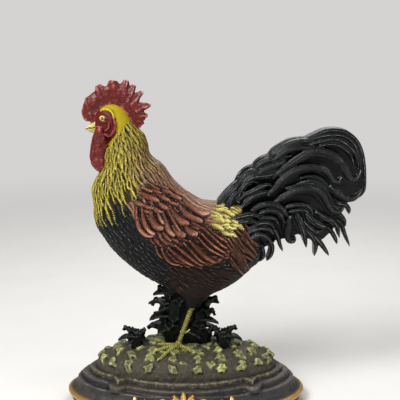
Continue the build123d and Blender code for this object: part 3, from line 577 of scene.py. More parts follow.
# %% Outlines of the areas
AREAS = [
    "hackle", "breast", "back", "wing", "primary", "patch", "saddle", "thigh", "tuft", "face", "crown",
    "beak", "mouth", "eye", "pupil", "glint",
]
WING = [
    (-48, 216), (-47, 197), (-42, 184), (-32, 176), (-24, 163), (-10, 154), (8, 152), (24, 152), (38, 159),
    (42, 168), (30, 186), (20, 193), (4, 208), (-10, 218), (-24, 226), (-40, 226),
]
PATCH = [
    (23, 200), (25, 207), (34, 210), (45, 209), (50, 202), (51, 197), (48, 192), (44, 188), (39, 182),
    (34, 182), (28, 187), (24, 193),
]
SADDLE = [(40, 196), (52, 195), (58, 184), (60, 170), (58, 156), (54, 150), (46, 150), (36, 158), (32, 174)]
THIGH = [
    (-24, 154), (20, 149), (46, 152), (58, 152), (48, 132), (30, 116), (12, 104), (-6, 104), (-22, 128),
]
FACE = [
    (-99, 287), (-99, 296), (-86, 299), (-78, 300), (-71, 297), (-67, 292), (-66, 284), (-67, 277),
    (-71, 271), (-78, 264), (-96, 264),
]

# %% Which area a place belongs to
FACE_END, CROWN_END = 3.4, 2.9
HACKLE_BACK_END, HACKLE_FRONT_DROP = 6.95, 0.6
BACK_SHARE, BACK_END, TUFT_START = 0.42, 11.2, 11.6


def inside(x, z, outline):
    """Whether a side-view point lies in an outline."""
    within = False
    for (x1, z1), (x2, z2) in zip(outline, outline[1:] + outline[:1]):
        if (z1 > z) != (z2 > z) and x < x1 + (z - z1) * (x2 - x1) / (z2 - z1):
            within = not within
    return within


def hackle_end(angle):
    """The ring at which the hackle cape ends: a little sooner on the back than on the chest."""
    front = 0.5 - 0.5 * math.cos(angle)
    return HACKLE_BACK_END + HACKLE_FRONT_DROP * front


def area_at(u, angle, place):
    """Name of the area that a place on the skin belongs to."""
    x, z = place[0], place[2]
    if u < FACE_END and inside(x, z, FACE):
        return "face"
    if u < CROWN_END:
        return "crown"
    if u < hackle_end(angle):
        return "hackle"
    for area, outline in (("patch", PATCH), ("wing", WING), ("saddle", SADDLE), ("thigh", THIGH)):
        if inside(x, z, outline):
            return area
    back = 0.5 + 0.5 * math.cos(angle)
    if back > BACK_SHARE and u < BACK_END:
        return "back"
    return "tuft" if u > TUFT_START else "breast"

# %% Roots of the feathers
ROOT_JITTER = 0.12
LOOK_AHEAD = 0.2


def coat_roots(u_from, u_to, row_gap, gap):
    """Roots in staggered rows over the whole skin: ring, angle, place and the direction towards the tail."""
    u, odd = u_from, False
    while u < u_to:
        ring = [cast_skin(u, turn) for turn in turns]
        lengths = np.cumsum([(ring[i] - ring[i - 1]).length for i in range(len(ring))])
        count = max(6, round(lengths[-1] / gap))
        for k in range(count):
            step = k + (0.5 if odd else 0.0) + dice.uniform(-ROOT_JITTER, ROOT_JITTER)
            spot = step % count * lengths[-1] / count
            angle = float(np.interp(spot, lengths, turns))
            after, before = min(u + LOOK_AHEAD, LAST_RING), max(u - LOOK_AHEAD, 0.0)
            ahead = cast_skin(after, angle) - cast_skin(before, angle)
            yield u, angle, cast_skin(u, angle), ahead.normalized()
        pace = (ring_at(u + LOOK_AHEAD / 2)[0] - ring_at(u - LOOK_AHEAD / 2)[0]).length / LOOK_AHEAD
        u, odd = u + row_gap / pace, not odd

# %% [markdown]
# ## Feathering the body
#
# Each area has its own blade: its length, half-width, how pointed its tip is, how far it lifts, and how it is
# scored. Small feathers are sown in staggered rows, as tiles are laid. The hackle is different: its feathers
# hang in long tiers from the head to a ragged edge, so each tier is given the ring at which it ends.

# %% Sow the hackle
HACKLE_TIERS, HACKLE_GAP, HACKLE_COLUMNS = 15, 3.7, 5
HACKLE_START, HACKLE_SPAN, HACKLE_HIGHEST = 3.8, 0.9, 2.7
ROOT_RING, ROOT_RUN, ONE_ROW, ROW_GAP = 3.0, 2.6, 0.01, 90.0
END_JITTER = 0.16
THIN_TIERS, THIN_SHARE = 0.8, 0.35
BACK_FLATTER = 0.75
HACKLE = Blade(1.0, 1.75, 1.4, 0.0, 1.4, 1.4, 0.3, 0.08)
coat = Plumage(skin_tree)
for tier in np.linspace(0, 1, HACKLE_TIERS):
    row = ROOT_RING + ROOT_RUN * tier
    for _, angle, _, _ in coat_roots(row, row + ONE_ROW, ROW_GAP, HACKLE_GAP):
        end = HACKLE_START + tier * (hackle_end(angle) - HACKLE_START) + dice.uniform(-END_JITTER, END_JITTER)
        start = max(HACKLE_HIGHEST, end - HACKLE_SPAN)
        root = cast_skin(start, angle)
        thinned = tier > THIN_TIERS and dice.random() < THIN_SHARE
        if area_at(start, angle, root) != "face" and not thinned:
            fall = cast_skin(end, angle) - root
            low = 1 - BACK_FLATTER * tier ** 2 * max(0.0, math.cos(angle))
            blade = HACKLE._replace(length=fall.length, lift=HACKLE.lift * low, thick=HACKLE.thick * low)
            coat.lay(coat.walk(root, fall, blade), blade, "hackle", HACKLE_COLUMNS)
print("hackle feathers:", coat.number)

# %% Sow the rest of the coat
UNDERLAP = 0.8
Coat = namedtuple("Coat", "blade rings row_gap gap droop sway")
LEVEL, DROOP, FALL = (0, 0, 0), (0.5, 0, -0.7), (-0.25, 0, -1.0)
COATS = {
    "breast": Coat(Blade(12.0, 2.9, 1.7, 0.0, 1.3, 0.9, 0.5, 0.03), (6.2, 12.4), 5.0, 5.2, LEVEL, 0.25),
    "back": Coat(Blade(30.0, 2.3, 1.6, 0.0, 0.7, 1.2, 0.2, 0.02), (5.8, 11.4), 10.0, 4.5, LEVEL, 0.1),
    "wing": Coat(Blade(11.0, 2.6, 1.8, 0.0, 0.6, 0.9, 0.2, 0.0), (6.6, 11.4), 6.0, 5.0, LEVEL, 0.2),
    "patch": Coat(Blade(13.0, 2.9, 1.25, 0.4, 2.6, 0.8, 0.6, 0.06), (9.4, 12.8), 5.0, 5.0, DROOP, 0.7),
    "saddle": Coat(Blade(27.0, 2.2, 1.6, 0.0, 1.4, 2.2, 0.2, 0.02), (9.8, 13.0), 9.0, 4.6, FALL, 0.15),
    "thigh": Coat(Blade(14.0, 1.6, 1.5, 0.0, 0.9, 1.0, 0.2, 0.05), (8.6, 12.6), 5.6, 3.6, DROOP, 0.35),
    "tuft": Coat(Blade(16.0, 3.2, 1.6, 0.0, 1.4, 1.3, 0.4, 0.0), (11.4, 13.0), 7.0, 5.0, LEVEL, 0.1),
}
for area, kind in COATS.items():
    for u, angle, place, ahead in coat_roots(*kind.rings, kind.row_gap, kind.gap):
        if area_at(u + UNDERLAP, angle, place) == area:
            size = dice.uniform(0.85, 1.15)
            length, half_width = kind.blade.length * size, kind.blade.half_width * size
            blade = kind.blade._replace(length=length, half_width=half_width)
            lean = Vector(dice.uniform(-kind.sway, kind.sway, 3))
            coat.lay(coat.walk(place, ahead + Vector(kind.droop) + lean, blade), blade, area)
print("feathers sown:", coat.number)

# %% [markdown]
# ## The wing
#
# The wing's feathers are plump, large and few, and a modeller sets them one at a time. So they are set the
# same way, each as a line in side view from root to tip, read off the photograph and rounded to half a
# millimetre: scales on the shoulder, curled coverts at the front, broad coverts in the middle, long ribbons
# over the back, and the primaries with a fan behind them.

# %% Lines of the wing feathers
Quill = namedtuple("Quill", "line half_width")
PRIMARIES = [
    Quill([(-27.5, 173.5), (-25, 166.5), (-19, 159.5)], 2.4),
    Quill([(-22, 171), (-18, 162.5), (-12.5, 156.5), (-3.5, 153.5)], 2.8),
    Quill([(-16, 172), (-7.5, 164), (1, 158), (10.5, 153)], 3.2),
    Quill([(-9.5, 174), (0, 166), (9, 159), (18.5, 152.5)], 3.2),
    Quill([(-1.5, 176), (6, 168), (13.5, 160), (20.5, 155.5)], 2.8),
    Quill([(4, 177.5), (11.5, 170), (20.5, 161.5), (31, 155.5)], 4.0),
    Quill([(12.5, 180), (20.5, 171.5), (28, 166.5), (38.5, 161)], 2.4),
    Quill([(15.5, 183), (24, 175), (32, 169), (40, 164)], 2.4),
    Quill([(18.5, 185.5), (27, 179), (35, 172), (41.5, 168.5)], 2.4),
    Quill([(22.5, 186.5), (30, 180.5), (37, 176.5), (41.5, 173.5)], 2.4),
]
COVERTS = [
    Quill([(-45.5, 210), (-45, 198.5), (-42, 189), (-36, 183.5), (-28.5, 182.5)], 2.8),
    Quill([(-41, 210), (-39, 197.5), (-34, 188), (-27.5, 183.5)], 3.0),
    Quill([(-33, 207), (-31.5, 198), (-26.5, 191), (-19, 189.5)], 4.2),
    Quill([(-26.5, 205), (-23.5, 198.5), (-19, 192)], 2.6),
    Quill([(-22, 205), (-19, 196), (-15, 187.5), (-8.5, 181.5)], 3.6),
    Quill([(-17, 205), (-12, 197.5), (-7.5, 189), (-3.5, 184.5)], 2.6),
    Quill([(-12, 192), (-7.5, 185.5), (2, 181.5)], 4.2), Quill([(-0.5, 191), (5, 185), (13.5, 182)], 4.0),
    Quill([(-16, 208.5), (-11.5, 201), (-4.5, 194.5), (5, 191.5)], 4.8),
    Quill([(-8.5, 210), (-1, 201.5), (7, 196), (18.5, 192)], 4.4),
    Quill([(-6, 216.5), (1, 207.5), (9, 202), (17.5, 198), (25.5, 199)], 3.0),
]
RIBBONS = [
    Quill([(-3, 216), (5, 209), (12.5, 204.5), (25.5, 201)], 2.6),
    Quill([(1, 215), (9.5, 209), (17.5, 204.5), (26.5, 203)], 2.2),
]
SCALES = [
    Quill([(-48.5, 216), (-44, 212.5), (-37, 210)], 3.4),
    Quill([(-41, 212), (-36, 209), (-28.5, 207)], 2.8),
    Quill([(-42, 208), (-37, 205.5), (-29.5, 203.5)], 2.6),
    Quill([(-44, 222.5), (-35, 218), (-23.5, 212.5)], 3.8),
    Quill([(-33, 211), (-27.5, 206), (-21, 203)], 3.2),
    Quill([(-25.5, 212.5), (-21, 208.5), (-14, 205)], 3.2),
    Quill([(-28.5, 220), (-22, 216), (-13.5, 211)], 3.6),
    Quill([(-18, 213), (-12.5, 210), (-3.5, 206)], 3.0),
    Quill([(-18.5, 221), (-11.5, 216.5), (-3, 211.5)], 3.4),
    Quill([(-26, 226), (-20, 222), (-11.5, 217)], 3.4),
    Quill([(-36.5, 228), (-30.5, 223.5), (-22, 218.5)], 3.4),
    Quill([(-42, 227), (-37, 224.5), (-30.5, 221.5)], 3.0),
    Quill([(-29, 229), (-23, 225.5), (-15.5, 221)], 3.2),
    Quill([(-36.5, 231), (-31.5, 227), (-24, 222.5)], 3.0),
    Quill([(-18.5, 225), (-11.5, 220), (-5, 214.5)], 2.8),
]
WING_ROWS = [
    (PRIMARIES, Blade(0, 0, 2.0, 0.0, 0.8, 3.4, 0.0, 0), "primary"),
    (RIBBONS, Blade(0, 0, 2.0, 0.0, 0.4, 2.4, 0.0, 0), "back"),
    (COVERTS, Blade(0, 0, 2.8, 0.3, 1.6, 3.2, 0.0, 0), "wing"),
    (SCALES, Blade(0, 0, 2.4, 0.3, 1.5, 2.6, 0.0, 0), "wing"),
]

# %% Set the wing feathers
QUILL_COLUMNS = 9
for side in (-1, 1):
    for quills, plain, area in WING_ROWS:
        for quill in quills:
            blade = plain._replace(half_width=quill.half_width)
            coat.lay(coat.trace(quill.line, side), blade, area, QUILL_COLUMNS)
print("feathers with the wings:", coat.number)

# %% [markdown]
# ## The head
#
# The bare face has an eye in a ringed lid, a brow, wrinkled cheeks and a curled ear lobe. They are small
# lumps of clay on the casting. Marks are left for the painter on the bare skin too, and on the eye.

# %% Draw the face
EYE = (-80.4, 292.0)
EYE_OUT = 11.6
EYE_RADIUS = 2.6
# The glint is a painted highlight: a pale dot in the middle of the pupil.
EYE_RINGS = [(2.55, "mouth"), (2.0, "eye"), (1.75, "eye"), (1.25, "pupil"), (0.8, "pupil"), (0.1, "glint")]
EAR = [(-69.5, 294), (-67.6, 286), (-68.8, 279.5), (-74, 274.5), (-79.5, 276.5)]
EAR_FOLD = [(-78.5, 279.5), (-74.6, 282), (-73.4, 287)]
LIDS = [
    [(-84.6, 291), (-82, 294.9), (-78.4, 294.8), (-75.8, 291.5)],
    [(-84.2, 290.5), (-81, 288.4), (-77, 289.2)],
]
BROW = [(-87, 296), (-82, 299.3), (-76, 300.2), (-71.3, 298), (-68.4, 293)]
JOWL = [(-86, 283), (-82, 276), (-77, 268)]
FOLDS = [
    (EAR, 1.9, "face"), (EAR_FOLD, 1.3, "face"), (LIDS[0], 1.0, "face"), (LIDS[1], 1.0, "face"),
    (BROW, 1.5, "crown"), (JOWL, 2.2, "face"),
]

# %% Lumps and marks on the head
def fold(line, half_width, side, lift=0.6):
    """A fold of skin that follows a side-view line over the head."""
    places = [side_place(x, z, side) + Vector((0, side * lift, 0)) for x, z in smooth_line(line, 14)]
    taper = [0.5 * half_width, half_width, half_width, 0.5 * half_width]
    coat.add(*lobe([tuple(p) for p in places], taper, half_width))
    return places


def mark(place, area):
    """A mark for the painter on bare skin."""
    coat.marks.append(Mark(*place, AREAS.index(area), 0.5, 0.0, 0.0))


def ball(centre, radius, sides=16):
    """A ball as rings from pole to pole."""
    tilts = np.linspace(0.02, math.pi - 0.02, sides)
    spins = np.linspace(0, 2 * math.pi, sides, endpoint=False)
    rings = [[(radius * math.sin(t) * math.cos(s), radius * math.sin(t) * math.sin(s), -radius * math.cos(t))
              for s in spins] for t in tilts]
    return np.array(rings) + np.asarray(centre), grid_faces(sides, sides)


def ring_marks(centre, radius, side, area):
    """Marks on a ring of the eyeball, seen from the side."""
    out = math.sqrt(EYE_RADIUS ** 2 - radius ** 2)
    for spin in np.linspace(0, 2 * math.pi, 18):
        mark(centre + Vector((radius * math.cos(spin), side * out, radius * math.sin(spin))), area)

# %% Model the face
for side in (-1, 1):
    for line, half_width, area in FOLDS:
        for place in fold(line, half_width, side):
            mark(place + Vector((0, side * half_width, 0)), area)
    eye = Vector((EYE[0], side * EYE_OUT, EYE[1]))
    coat.add(*ball(eye, EYE_RADIUS))
    for radius, area in EYE_RINGS:
        ring_marks(eye, radius, side, area)
for row, u in enumerate(rows):
    for turn, place in zip(turns, skin[row]):
        if area_at(u, turn, place) in ("face", "crown"):
            mark(place, area_at(u, turn, place))
print("marks for the painter:", len(coat.marks))

# %% [markdown]
# ## Fusing and painting the body
#
# The shells, the skin and the feathers are fused, and the painter goes over the casting corner by corner: the
# nearest mark says which area and which feather a place belongs to. Each feather gets painted shade at its
# root and a painted highlight towards its tip, and each one is a little lighter or darker than its
# neighbours. Then the casting is parted down the middle again, because the real body is two halves.

# %% Fuse the body and read the marks
BODY_VOXEL = 0.65
BEAK_EDGE, BEAK_LEVELS = -88.0, (275, 288)
MOUTH = [(-98.0, 280.2), (-95, 281.2), (-91.5, 281.6), (-88, 282.2)]
NOSTRIL = [(-93.6, 285.8), (-92.2, 286.4)]
BEAK_LINES = [(MOUTH, 0.55), (NOSTRIL, 0.7)]
NEIGHBOURS, SOFTEN = 3, 0.05
coat.add(shell_corners, shell_faces)
coat.add(skin, skin_faces)
body = coat.fuse("body", BODY_VOXEL)
places = corner_array(body)
marks = np.array(coat.marks)
finder = finder_of(marks[:, :3])
found = [finder.find_n(c, NEIGHBOURS) for c in places]
near = np.array([[hit[1] for hit in hits] for hits in found])
gaps = np.array([[hit[2] for hit in hits] for hits in found])
area_of, tone = marks[near[:, 0], 3].astype(int), marks[near[:, 0], 6]
kin = (marks[near, 6] == tone[:, None]) / (gaps + SOFTEN) ** 2
along, barb = ((marks[near, column] * kin).sum(1) / kin.sum(1) for column in (4, 5))
on_beak = (places[:, 0] < BEAK_EDGE) & (places[:, 2] < BEAK_LEVELS[1]) & (places[:, 2] > BEAK_LEVELS[0])
area_of[on_beak] = AREAS.index("beak")
for line, half in BEAK_LINES:
    for x, z in smooth_line(line, 20):
        area_of[on_beak & (np.hypot(places[:, 0] - x, places[:, 2] - z) < half)] = AREAS.index("mouth")

# %% The painter's palette
Colours = namedtuple("Colours", "ground paint drag level tip")
# The breast, primary and thigh colours are darkened below their real paint as painted shade on faces that
# turn down, and every drag colour is partly a painted highlight.
PALETTE = {
    "hackle": Colours((34, 25, 4), (132, 118, 34), (204, 192, 92), 0.42, 0.0),
    "breast": Colours((2, 3, 3), (9, 11, 11), (140, 148, 148), 0.33, 0.1),
    "back": Colours((52, 31, 20), (126, 90, 70), (182, 148, 124), 0.5, 0.0),
    "wing": Colours((16, 6, 2), (112, 64, 46), (192, 152, 134), 0.38, 0.25),
    "primary": Colours((9, 3, 1), (82, 38, 22), (180, 122, 94), 0.36, 0.2),
    "patch": Colours((84, 68, 22), (176, 162, 82), (226, 218, 158), 0.46, 0.15),
    "saddle": Colours((18, 7, 2), (74, 40, 24), (158, 114, 88), 0.38, 0.0),
    "thigh": Colours((7, 3, 2), (34, 17, 11), (112, 72, 54), 0.38, 0.1),
    "tuft": Colours((3, 4, 5), (16, 19, 20), (120, 126, 126), 0.38, 0.0),
    "face": Colours((36, 4, 3), (86, 18, 16), (172, 88, 80), 0.48, 0.0),
    "crown": Colours((84, 62, 2), (152, 134, 8), (206, 192, 66), 0.52, 0.0),
    "beak": Colours((84, 70, 30), (176, 162, 92), (222, 214, 164), 0.56, 0.0),
    "mouth": Colours((14, 12, 6), (22, 18, 10), (30, 26, 16), 0.5, 0.0),
    "eye": Colours((120, 114, 34), (176, 170, 76), (210, 204, 120), 0.6, 0.0),
    "pupil": Colours((6, 6, 5), (8, 8, 7), (10, 10, 9), 0.5, 0.0),
    "glint": Colours((230, 230, 210), (236, 236, 220), (240, 240, 226), 0.5, 0.0),
}
BROWN_HACKLE = Colours((38, 24, 12), (126, 98, 62), (194, 170, 124), 0.42, 0.0)
SMOOTH_AREAS = ("face", "crown", "beak", "mouth", "eye", "pupil", "glint")

# %% Paint the body
HACKLE_UNEVEN, COAT_UNEVEN = 0.34, 0.2
ROOT_SHADE, TIP_GAIN = 0.7, 0.45
NECK_LEVELS, NECK_MIDDLE = [211, 229, 246, 260, 273], [-50, -59, -62, -64, -65]
BROWN_START, BROWN_RUN, BROWN_TOP, BROWN_FALL = 2, 22, 278, 30
BARE_GAP = 0.9
FEATHER_DEPTH, SKIN_RELIEF = 1.4, 0.6
TIP_MIDDLE, RELIEF_SHARE, BARE_SHARE = 0.6, 0.6, 0.5
on_hackle = area_of == AREAS.index("hackle")
# Each feather's own tone, times painted shade at its root that gives way to a painted highlight towards its
# tip.
shade = (1 + np.where(on_hackle, HACKLE_UNEVEN, COAT_UNEVEN) * tone) * (ROOT_SHADE + TIP_GAIN * along)
smooth = np.isin(area_of, [AREAS.index(area) for area in SMOOTH_AREAS])
shade[smooth] = 1.0
# Behind the middle of the neck and below the head, the hackle colour turns browner.
behind = places[:, 0] - np.interp(places[:, 2], NECK_LEVELS, NECK_MIDDLE)
browning = np.clip((behind - BROWN_START) / BROWN_RUN, 0, 1) * np.clip((BROWN_TOP - places[:, 2]) / BROWN_FALL, 0, 1)
browning = (browning * on_hackle)[:, None]
for layer, strength in (("ground", 0.0), ("paint", 1.0), ("drag", 0.4)):
    colours = np.array([tint(*getattr(PALETTE[area], layer)) for area in AREAS])[area_of]
    colours += browning * (np.array(tint(*getattr(BROWN_HACKLE, layer))) - colours)
    set_colour(body, layer, colours * (1 - strength + strength * shade)[:, None])
relief = relief_of(body, 24, 5, FEATHER_DEPTH)
relief[smooth] *= SKIN_RELIEF
# Ridge rises towards each feather's tip as a painted highlight and falls at its root as painted shade; bare
# skin in the gaps between feathers falls to the ground colour as painted shade.
level, tip = np.array([(PALETTE[area].level, PALETTE[area].tip) for area in AREAS])[area_of].T
bare = np.where(smooth, 0.0, np.clip((gaps[:, 0] - BARE_GAP) / BARE_GAP, 0, 1))
ridge = level + tip * (along - TIP_MIDDLE) + RELIEF_SHARE * relief - BARE_SHARE * bare
set_number(body, "ridge", np.clip(ridge, 0, 1))
set_number(body, "barb", np.where(smooth, 0.0, barb))
plumage_enamel = enamel("plumage_enamel", 0.2, 0.5)

# %% Part the casting
def halves(piece, names):
    """Cut a casting in the plane Y = 0 and close both halves."""
    parts = []
    for side, name in zip((-1, 1), names):
        work = bmesh.new()
        work.from_mesh(piece.data)
        plane = {"plane_co": (0, 0, 0), "plane_no": (0, -side, 0)}
        everything = work.verts[:] + work.edges[:] + work.faces[:]
        bmesh.ops.bisect_plane(work, geom=everything, clear_outer=True, **plane)
        bmesh.ops.holes_fill(work, edges=[e for e in work.edges if e.is_boundary], sides=0)
        mesh = bpy.data.meshes.new(name)
        work.to_mesh(mesh)
        work.free()
        parts.append(into_scene(name, mesh))
    bpy.data.objects.remove(piece)
    return parts


coat_halves = halves(body, ("plumage_left", "plumage_right"))
for part, node in zip(coat_halves, ("body_shell_left", "body_shell_right")):
    hand_over(part, "plumage_paint", plumage_enamel, node)
    print(part.name, len(part.data.polygons), "faces")

# %% [markdown]
# ## The tail
#
# The tail is the showpiece of the pattern: bundles of sickle feathers in layers that rise, curl over and hook
# up again at their tips. It is nearly black in the photograph, so its feathers were picked one after another,
# on a brightened copy. They are kept as they were picked, in pixels. The camera of this scene stands where
# the photographer stood, so the ray through a pixel, stopped at the depth of the feather's layer, gives its
# place on the bird.

# %% From the photograph to the bird
PHOTO_SIZE, LENS, SENSOR = 400, 81.0, 36.0
FOCAL, PHOTO_MIDDLE = PHOTO_SIZE * LENS / SENSOR, PHOTO_SIZE / 2
VIEW_TILT, VIEW_DISTANCE, VIEW_AIM = 11.0, 900.0, (14.6, 0, 209.0)
VIEW_TURN = math.radians(VIEW_TILT)
VIEW_UP = np.array([0, math.sin(VIEW_TURN), math.cos(VIEW_TURN)])
VIEW_AHEAD = np.array([0, math.cos(VIEW_TURN), -math.sin(VIEW_TURN)])
VIEW_PLACE = np.array(VIEW_AIM) - VIEW_DISTANCE * VIEW_AHEAD


def seen_at(column, row, depth):
    """Side-view place, to half a millimetre, of what a pixel of the photograph shows at a depth."""
    right, up = (column - PHOTO_MIDDLE) / FOCAL, (PHOTO_MIDDLE - row) / FOCAL
    ray = VIEW_AHEAD + np.array([right, 0, 0]) + VIEW_UP * up
    x, _, z = VIEW_PLACE + ray * (depth - VIEW_PLACE[1]) / ray[1]
    return round(2 * x) / 2, round(2 * z) / 2


print("a pixel is", VIEW_DISTANCE / FOCAL, "mm in the middle of the bird")

# %% Pick the sickle feathers
Sickle = namedtuple("Sickle", "line half_width layer")
SICKLES = [
    Sickle([(305, 140), (314, 135.8), (325, 132), (336, 131), (347, 133.5), (356, 140.5), (361, 150.5),
        (364, 163), (365, 178), (364.5, 190), (361, 196), (355, 200)], 2.3, 0),
    Sickle([(306, 142.5), (318, 137.8), (334, 135), (345, 137.3), (353, 143.5), (358, 152), (361, 163),
        (361, 171)], 2.2, 1),
    Sickle([(310, 145), (322, 141.5), (334, 139.5), (343, 142), (350.5, 147.5), (355.5, 155), (358.5, 163),
        (359, 170)], 2.2, 2),
    Sickle([(318, 147), (328, 144.5), (338, 145.5), (346, 150.5), (352, 158), (354.5, 166)], 2, 2),
    Sickle([(268, 162), (275, 154.5), (283, 148.5), (292, 144), (302, 142), (313, 141.5),
        (324, 143)], 3.2, 2),
    Sickle([(272, 163), (280, 155.5), (289, 150.5), (299, 148.5), (310, 148), (320, 146)], 3, 3),
    Sickle([(252, 174), (259, 166.5), (266, 162), (275, 159.5), (285, 157.5), (293, 156.5)], 3, 3),
    Sickle([(257, 176), (264, 170), (273, 166.5), (281, 163.5), (289, 158.5)], 3, 4),
    Sickle([(236, 188), (242, 180), (248, 174.5), (256, 171.5), (265, 171.5), (274, 171),
        (281, 167)], 3, 4),
    Sickle([(240, 190), (247, 181.5), (254, 177.5), (263, 176.5), (272, 175.5), (279, 172)], 2.8, 5),
    Sickle([(216, 211), (222, 203), (229, 195), (236, 188), (242, 182.5), (248, 178.5)], 4.2, 1),
    Sickle([(226, 212), (230, 204), (235, 196), (241, 189)], 3.6, 4),
    Sickle([(238, 200), (241.5, 190.5), (246, 184.5), (253, 182.5), (260, 185)], 2.6, 6),
    Sickle([(238, 203), (243, 196.5), (250, 193.5), (256, 190), (263, 186.8), (269, 186),
        (275, 187.5)], 2.6, 6),
    Sickle([(242, 208), (248, 201), (256, 196), (265, 193.3), (275, 193.5)], 2.8, 6),
    Sickle([(272, 178), (281, 172), (291, 164.5), (301, 157.5), (311, 153.3), (322, 152), (332, 155),
        (340, 161), (345.5, 169), (349, 176.5), (354, 180), (359, 178), (362, 171.5)], 4, 3),
    Sickle([(268, 195), (276, 187), (284, 179), (293, 172.5), (303, 168.8), (313, 168), (322, 169.5),
        (329, 175), (334, 181), (339, 183), (343, 178.5)], 3.6, 4),
    Sickle([(270, 206), (278, 200.5), (287, 195.5), (296, 191.3), (306, 189.5), (315, 190), (322, 194.5),
        (327, 202), (331, 209), (336, 213), (342, 212.5), (346, 208)], 3.4, 4),
    Sickle([(286, 189), (297, 186), (308, 183.5), (316, 184.5), (323, 189.5), (329, 198), (334, 206),
        (341, 209.5), (347, 206)], 2.8, 2),
    Sickle([(300, 178), (312, 176.5), (321, 180), (329, 188), (336, 194.5), (344, 199.5), (352, 199.5),
        (359, 195.5), (363, 190)], 3, 1),
    Sickle([(330, 186), (337, 193), (344, 198), (351, 199.8), (357, 197.5), (362, 192.5)], 3.2, 2),
    Sickle([(338, 204), (345, 205), (349, 209), (350, 215)], 2.4, 1),
    Sickle([(332, 210), (339, 214.5), (344, 220), (346.5, 227)], 2.4, 1),
    Sickle([(336, 219), (342, 226), (346, 236), (350.5, 247.5)], 2, 0),
    Sickle([(246, 219), (252, 212), (259, 207), (267, 204.8), (276, 205.8), (283, 210), (287, 216),
        (288.5, 222)], 3, 5),
    Sickle([(254, 218), (261, 213.5), (269, 211), (277, 212), (282, 217), (284, 225), (283, 232)], 2.6, 4),
    Sickle([(284, 209), (291, 206), (299, 204.8), (307, 206.5), (312, 211.5), (313, 219)], 2.2, 3),
    Sickle([(288, 212.5), (296, 210.5), (304, 210.5), (309, 215), (310, 224)], 2.2, 2),
    Sickle([(230, 220), (243, 217), (250, 216), (257, 218), (262, 223)], 2.6, 9),
    Sickle([(234, 225), (246, 222), (254, 223), (260, 227), (263, 231)], 2.4, 9),
    Sickle([(247, 231), (258, 224.8), (265, 223.8), (271, 226), (275.5, 232)], 2.4, 8),
    Sickle([(256, 221.5), (263, 218.8), (270, 218.5), (276, 221), (279.5, 227)], 2.2, 5),
    Sickle([(246, 235), (257, 230), (264, 229.5), (270, 232), (274.5, 238)], 2.2, 9),
    Sickle([(246, 242), (257, 236), (263, 236), (268, 239.5), (271.5, 244), (276, 245)], 2.4, 9),
    Sickle([(273, 228), (277.5, 236), (280, 245), (283.5, 253)], 2.2, 3),
    Sickle([(290, 216), (289, 226), (287.5, 234), (289, 240.5), (293.5, 242), (297, 239)], 3.2, 3),
    Sickle([(296, 212), (300, 222), (303.5, 233), (305.5, 241), (307, 249)], 2.8, 2),
    Sickle([(306, 214), (312, 220.5), (318, 224.5), (324, 227), (328, 226)], 2.8, 2),
    Sickle([(304, 222), (310, 228.5), (316, 232.5), (323, 231.5)], 2.6, 1),
    Sickle([(306, 230), (312, 237), (316, 246), (315, 257)], 2.4, 1),
    Sickle([(314, 236), (320, 243), (325, 250), (329.5, 256.5)], 2.4, 1),
    Sickle([(316, 212), (325, 217.5), (333, 221.5), (338, 229), (340.5, 239)], 2.4, 2),
    Sickle([(322, 222), (330, 230), (335, 238), (337.5, 245)], 2.4, 0),
    Sickle([(268, 240), (272, 247), (271, 255), (267, 262)], 2.6, 1),
    Sickle([(258, 242), (262, 249), (263, 257), (259, 263)], 2.6, 2),
]
CORE = [
    (226, 199), (233, 192.5), (241, 185.5), (246, 179), (251, 175), (258, 172), (264, 166), (272, 162),
    (278, 156), (284, 151), (291, 147), (299, 145), (309, 144), (316, 140), (324, 137), (333, 135),
    (342, 136), (350, 140), (355, 147), (358, 155), (361.5, 165), (363, 176), (362.5, 186), (358, 195),
    (349, 198), (344, 204), (341, 213), (337, 224), (331, 231), (324, 238), (316, 243), (307, 238),
    (298, 234), (290, 237), (282, 239), (276, 240), (270, 245), (262, 247), (256, 244), (252, 232),
    (246, 222), (240, 212), (232, 204),
]

# %% [markdown]
# The blade of a sickle feather is scored into strands along its length, thins towards the tip and dips back
# towards the middle of the plume there. The left half of the plume is modelled on a flat core, fused, and
# mirrored for the right half.

# %% Shape one sickle feather
PICK_OUT, CORE_OUT = 9.0, 6.0
CORE_HALF, LAYER_STEP = 7.0, 2.2
TIP_SINK, TIP_DIP = 2.0, 0.55
SICKLE_CROWN, SICKLE_FALL, SICKLE_POWER = 2.4, 0.8, 2.4
SPREAD_RATE, POINT_POWER, POINT_ROUND, CROWN_SPARE = 2.5, 4.5, 0.7, 0.2
STRAND_WIDTH, STRAND_DEPTH = 1.9, 0.7
SICKLE_COLUMNS, STEPS_PER_POINT = 17, 6
tail_marks = []


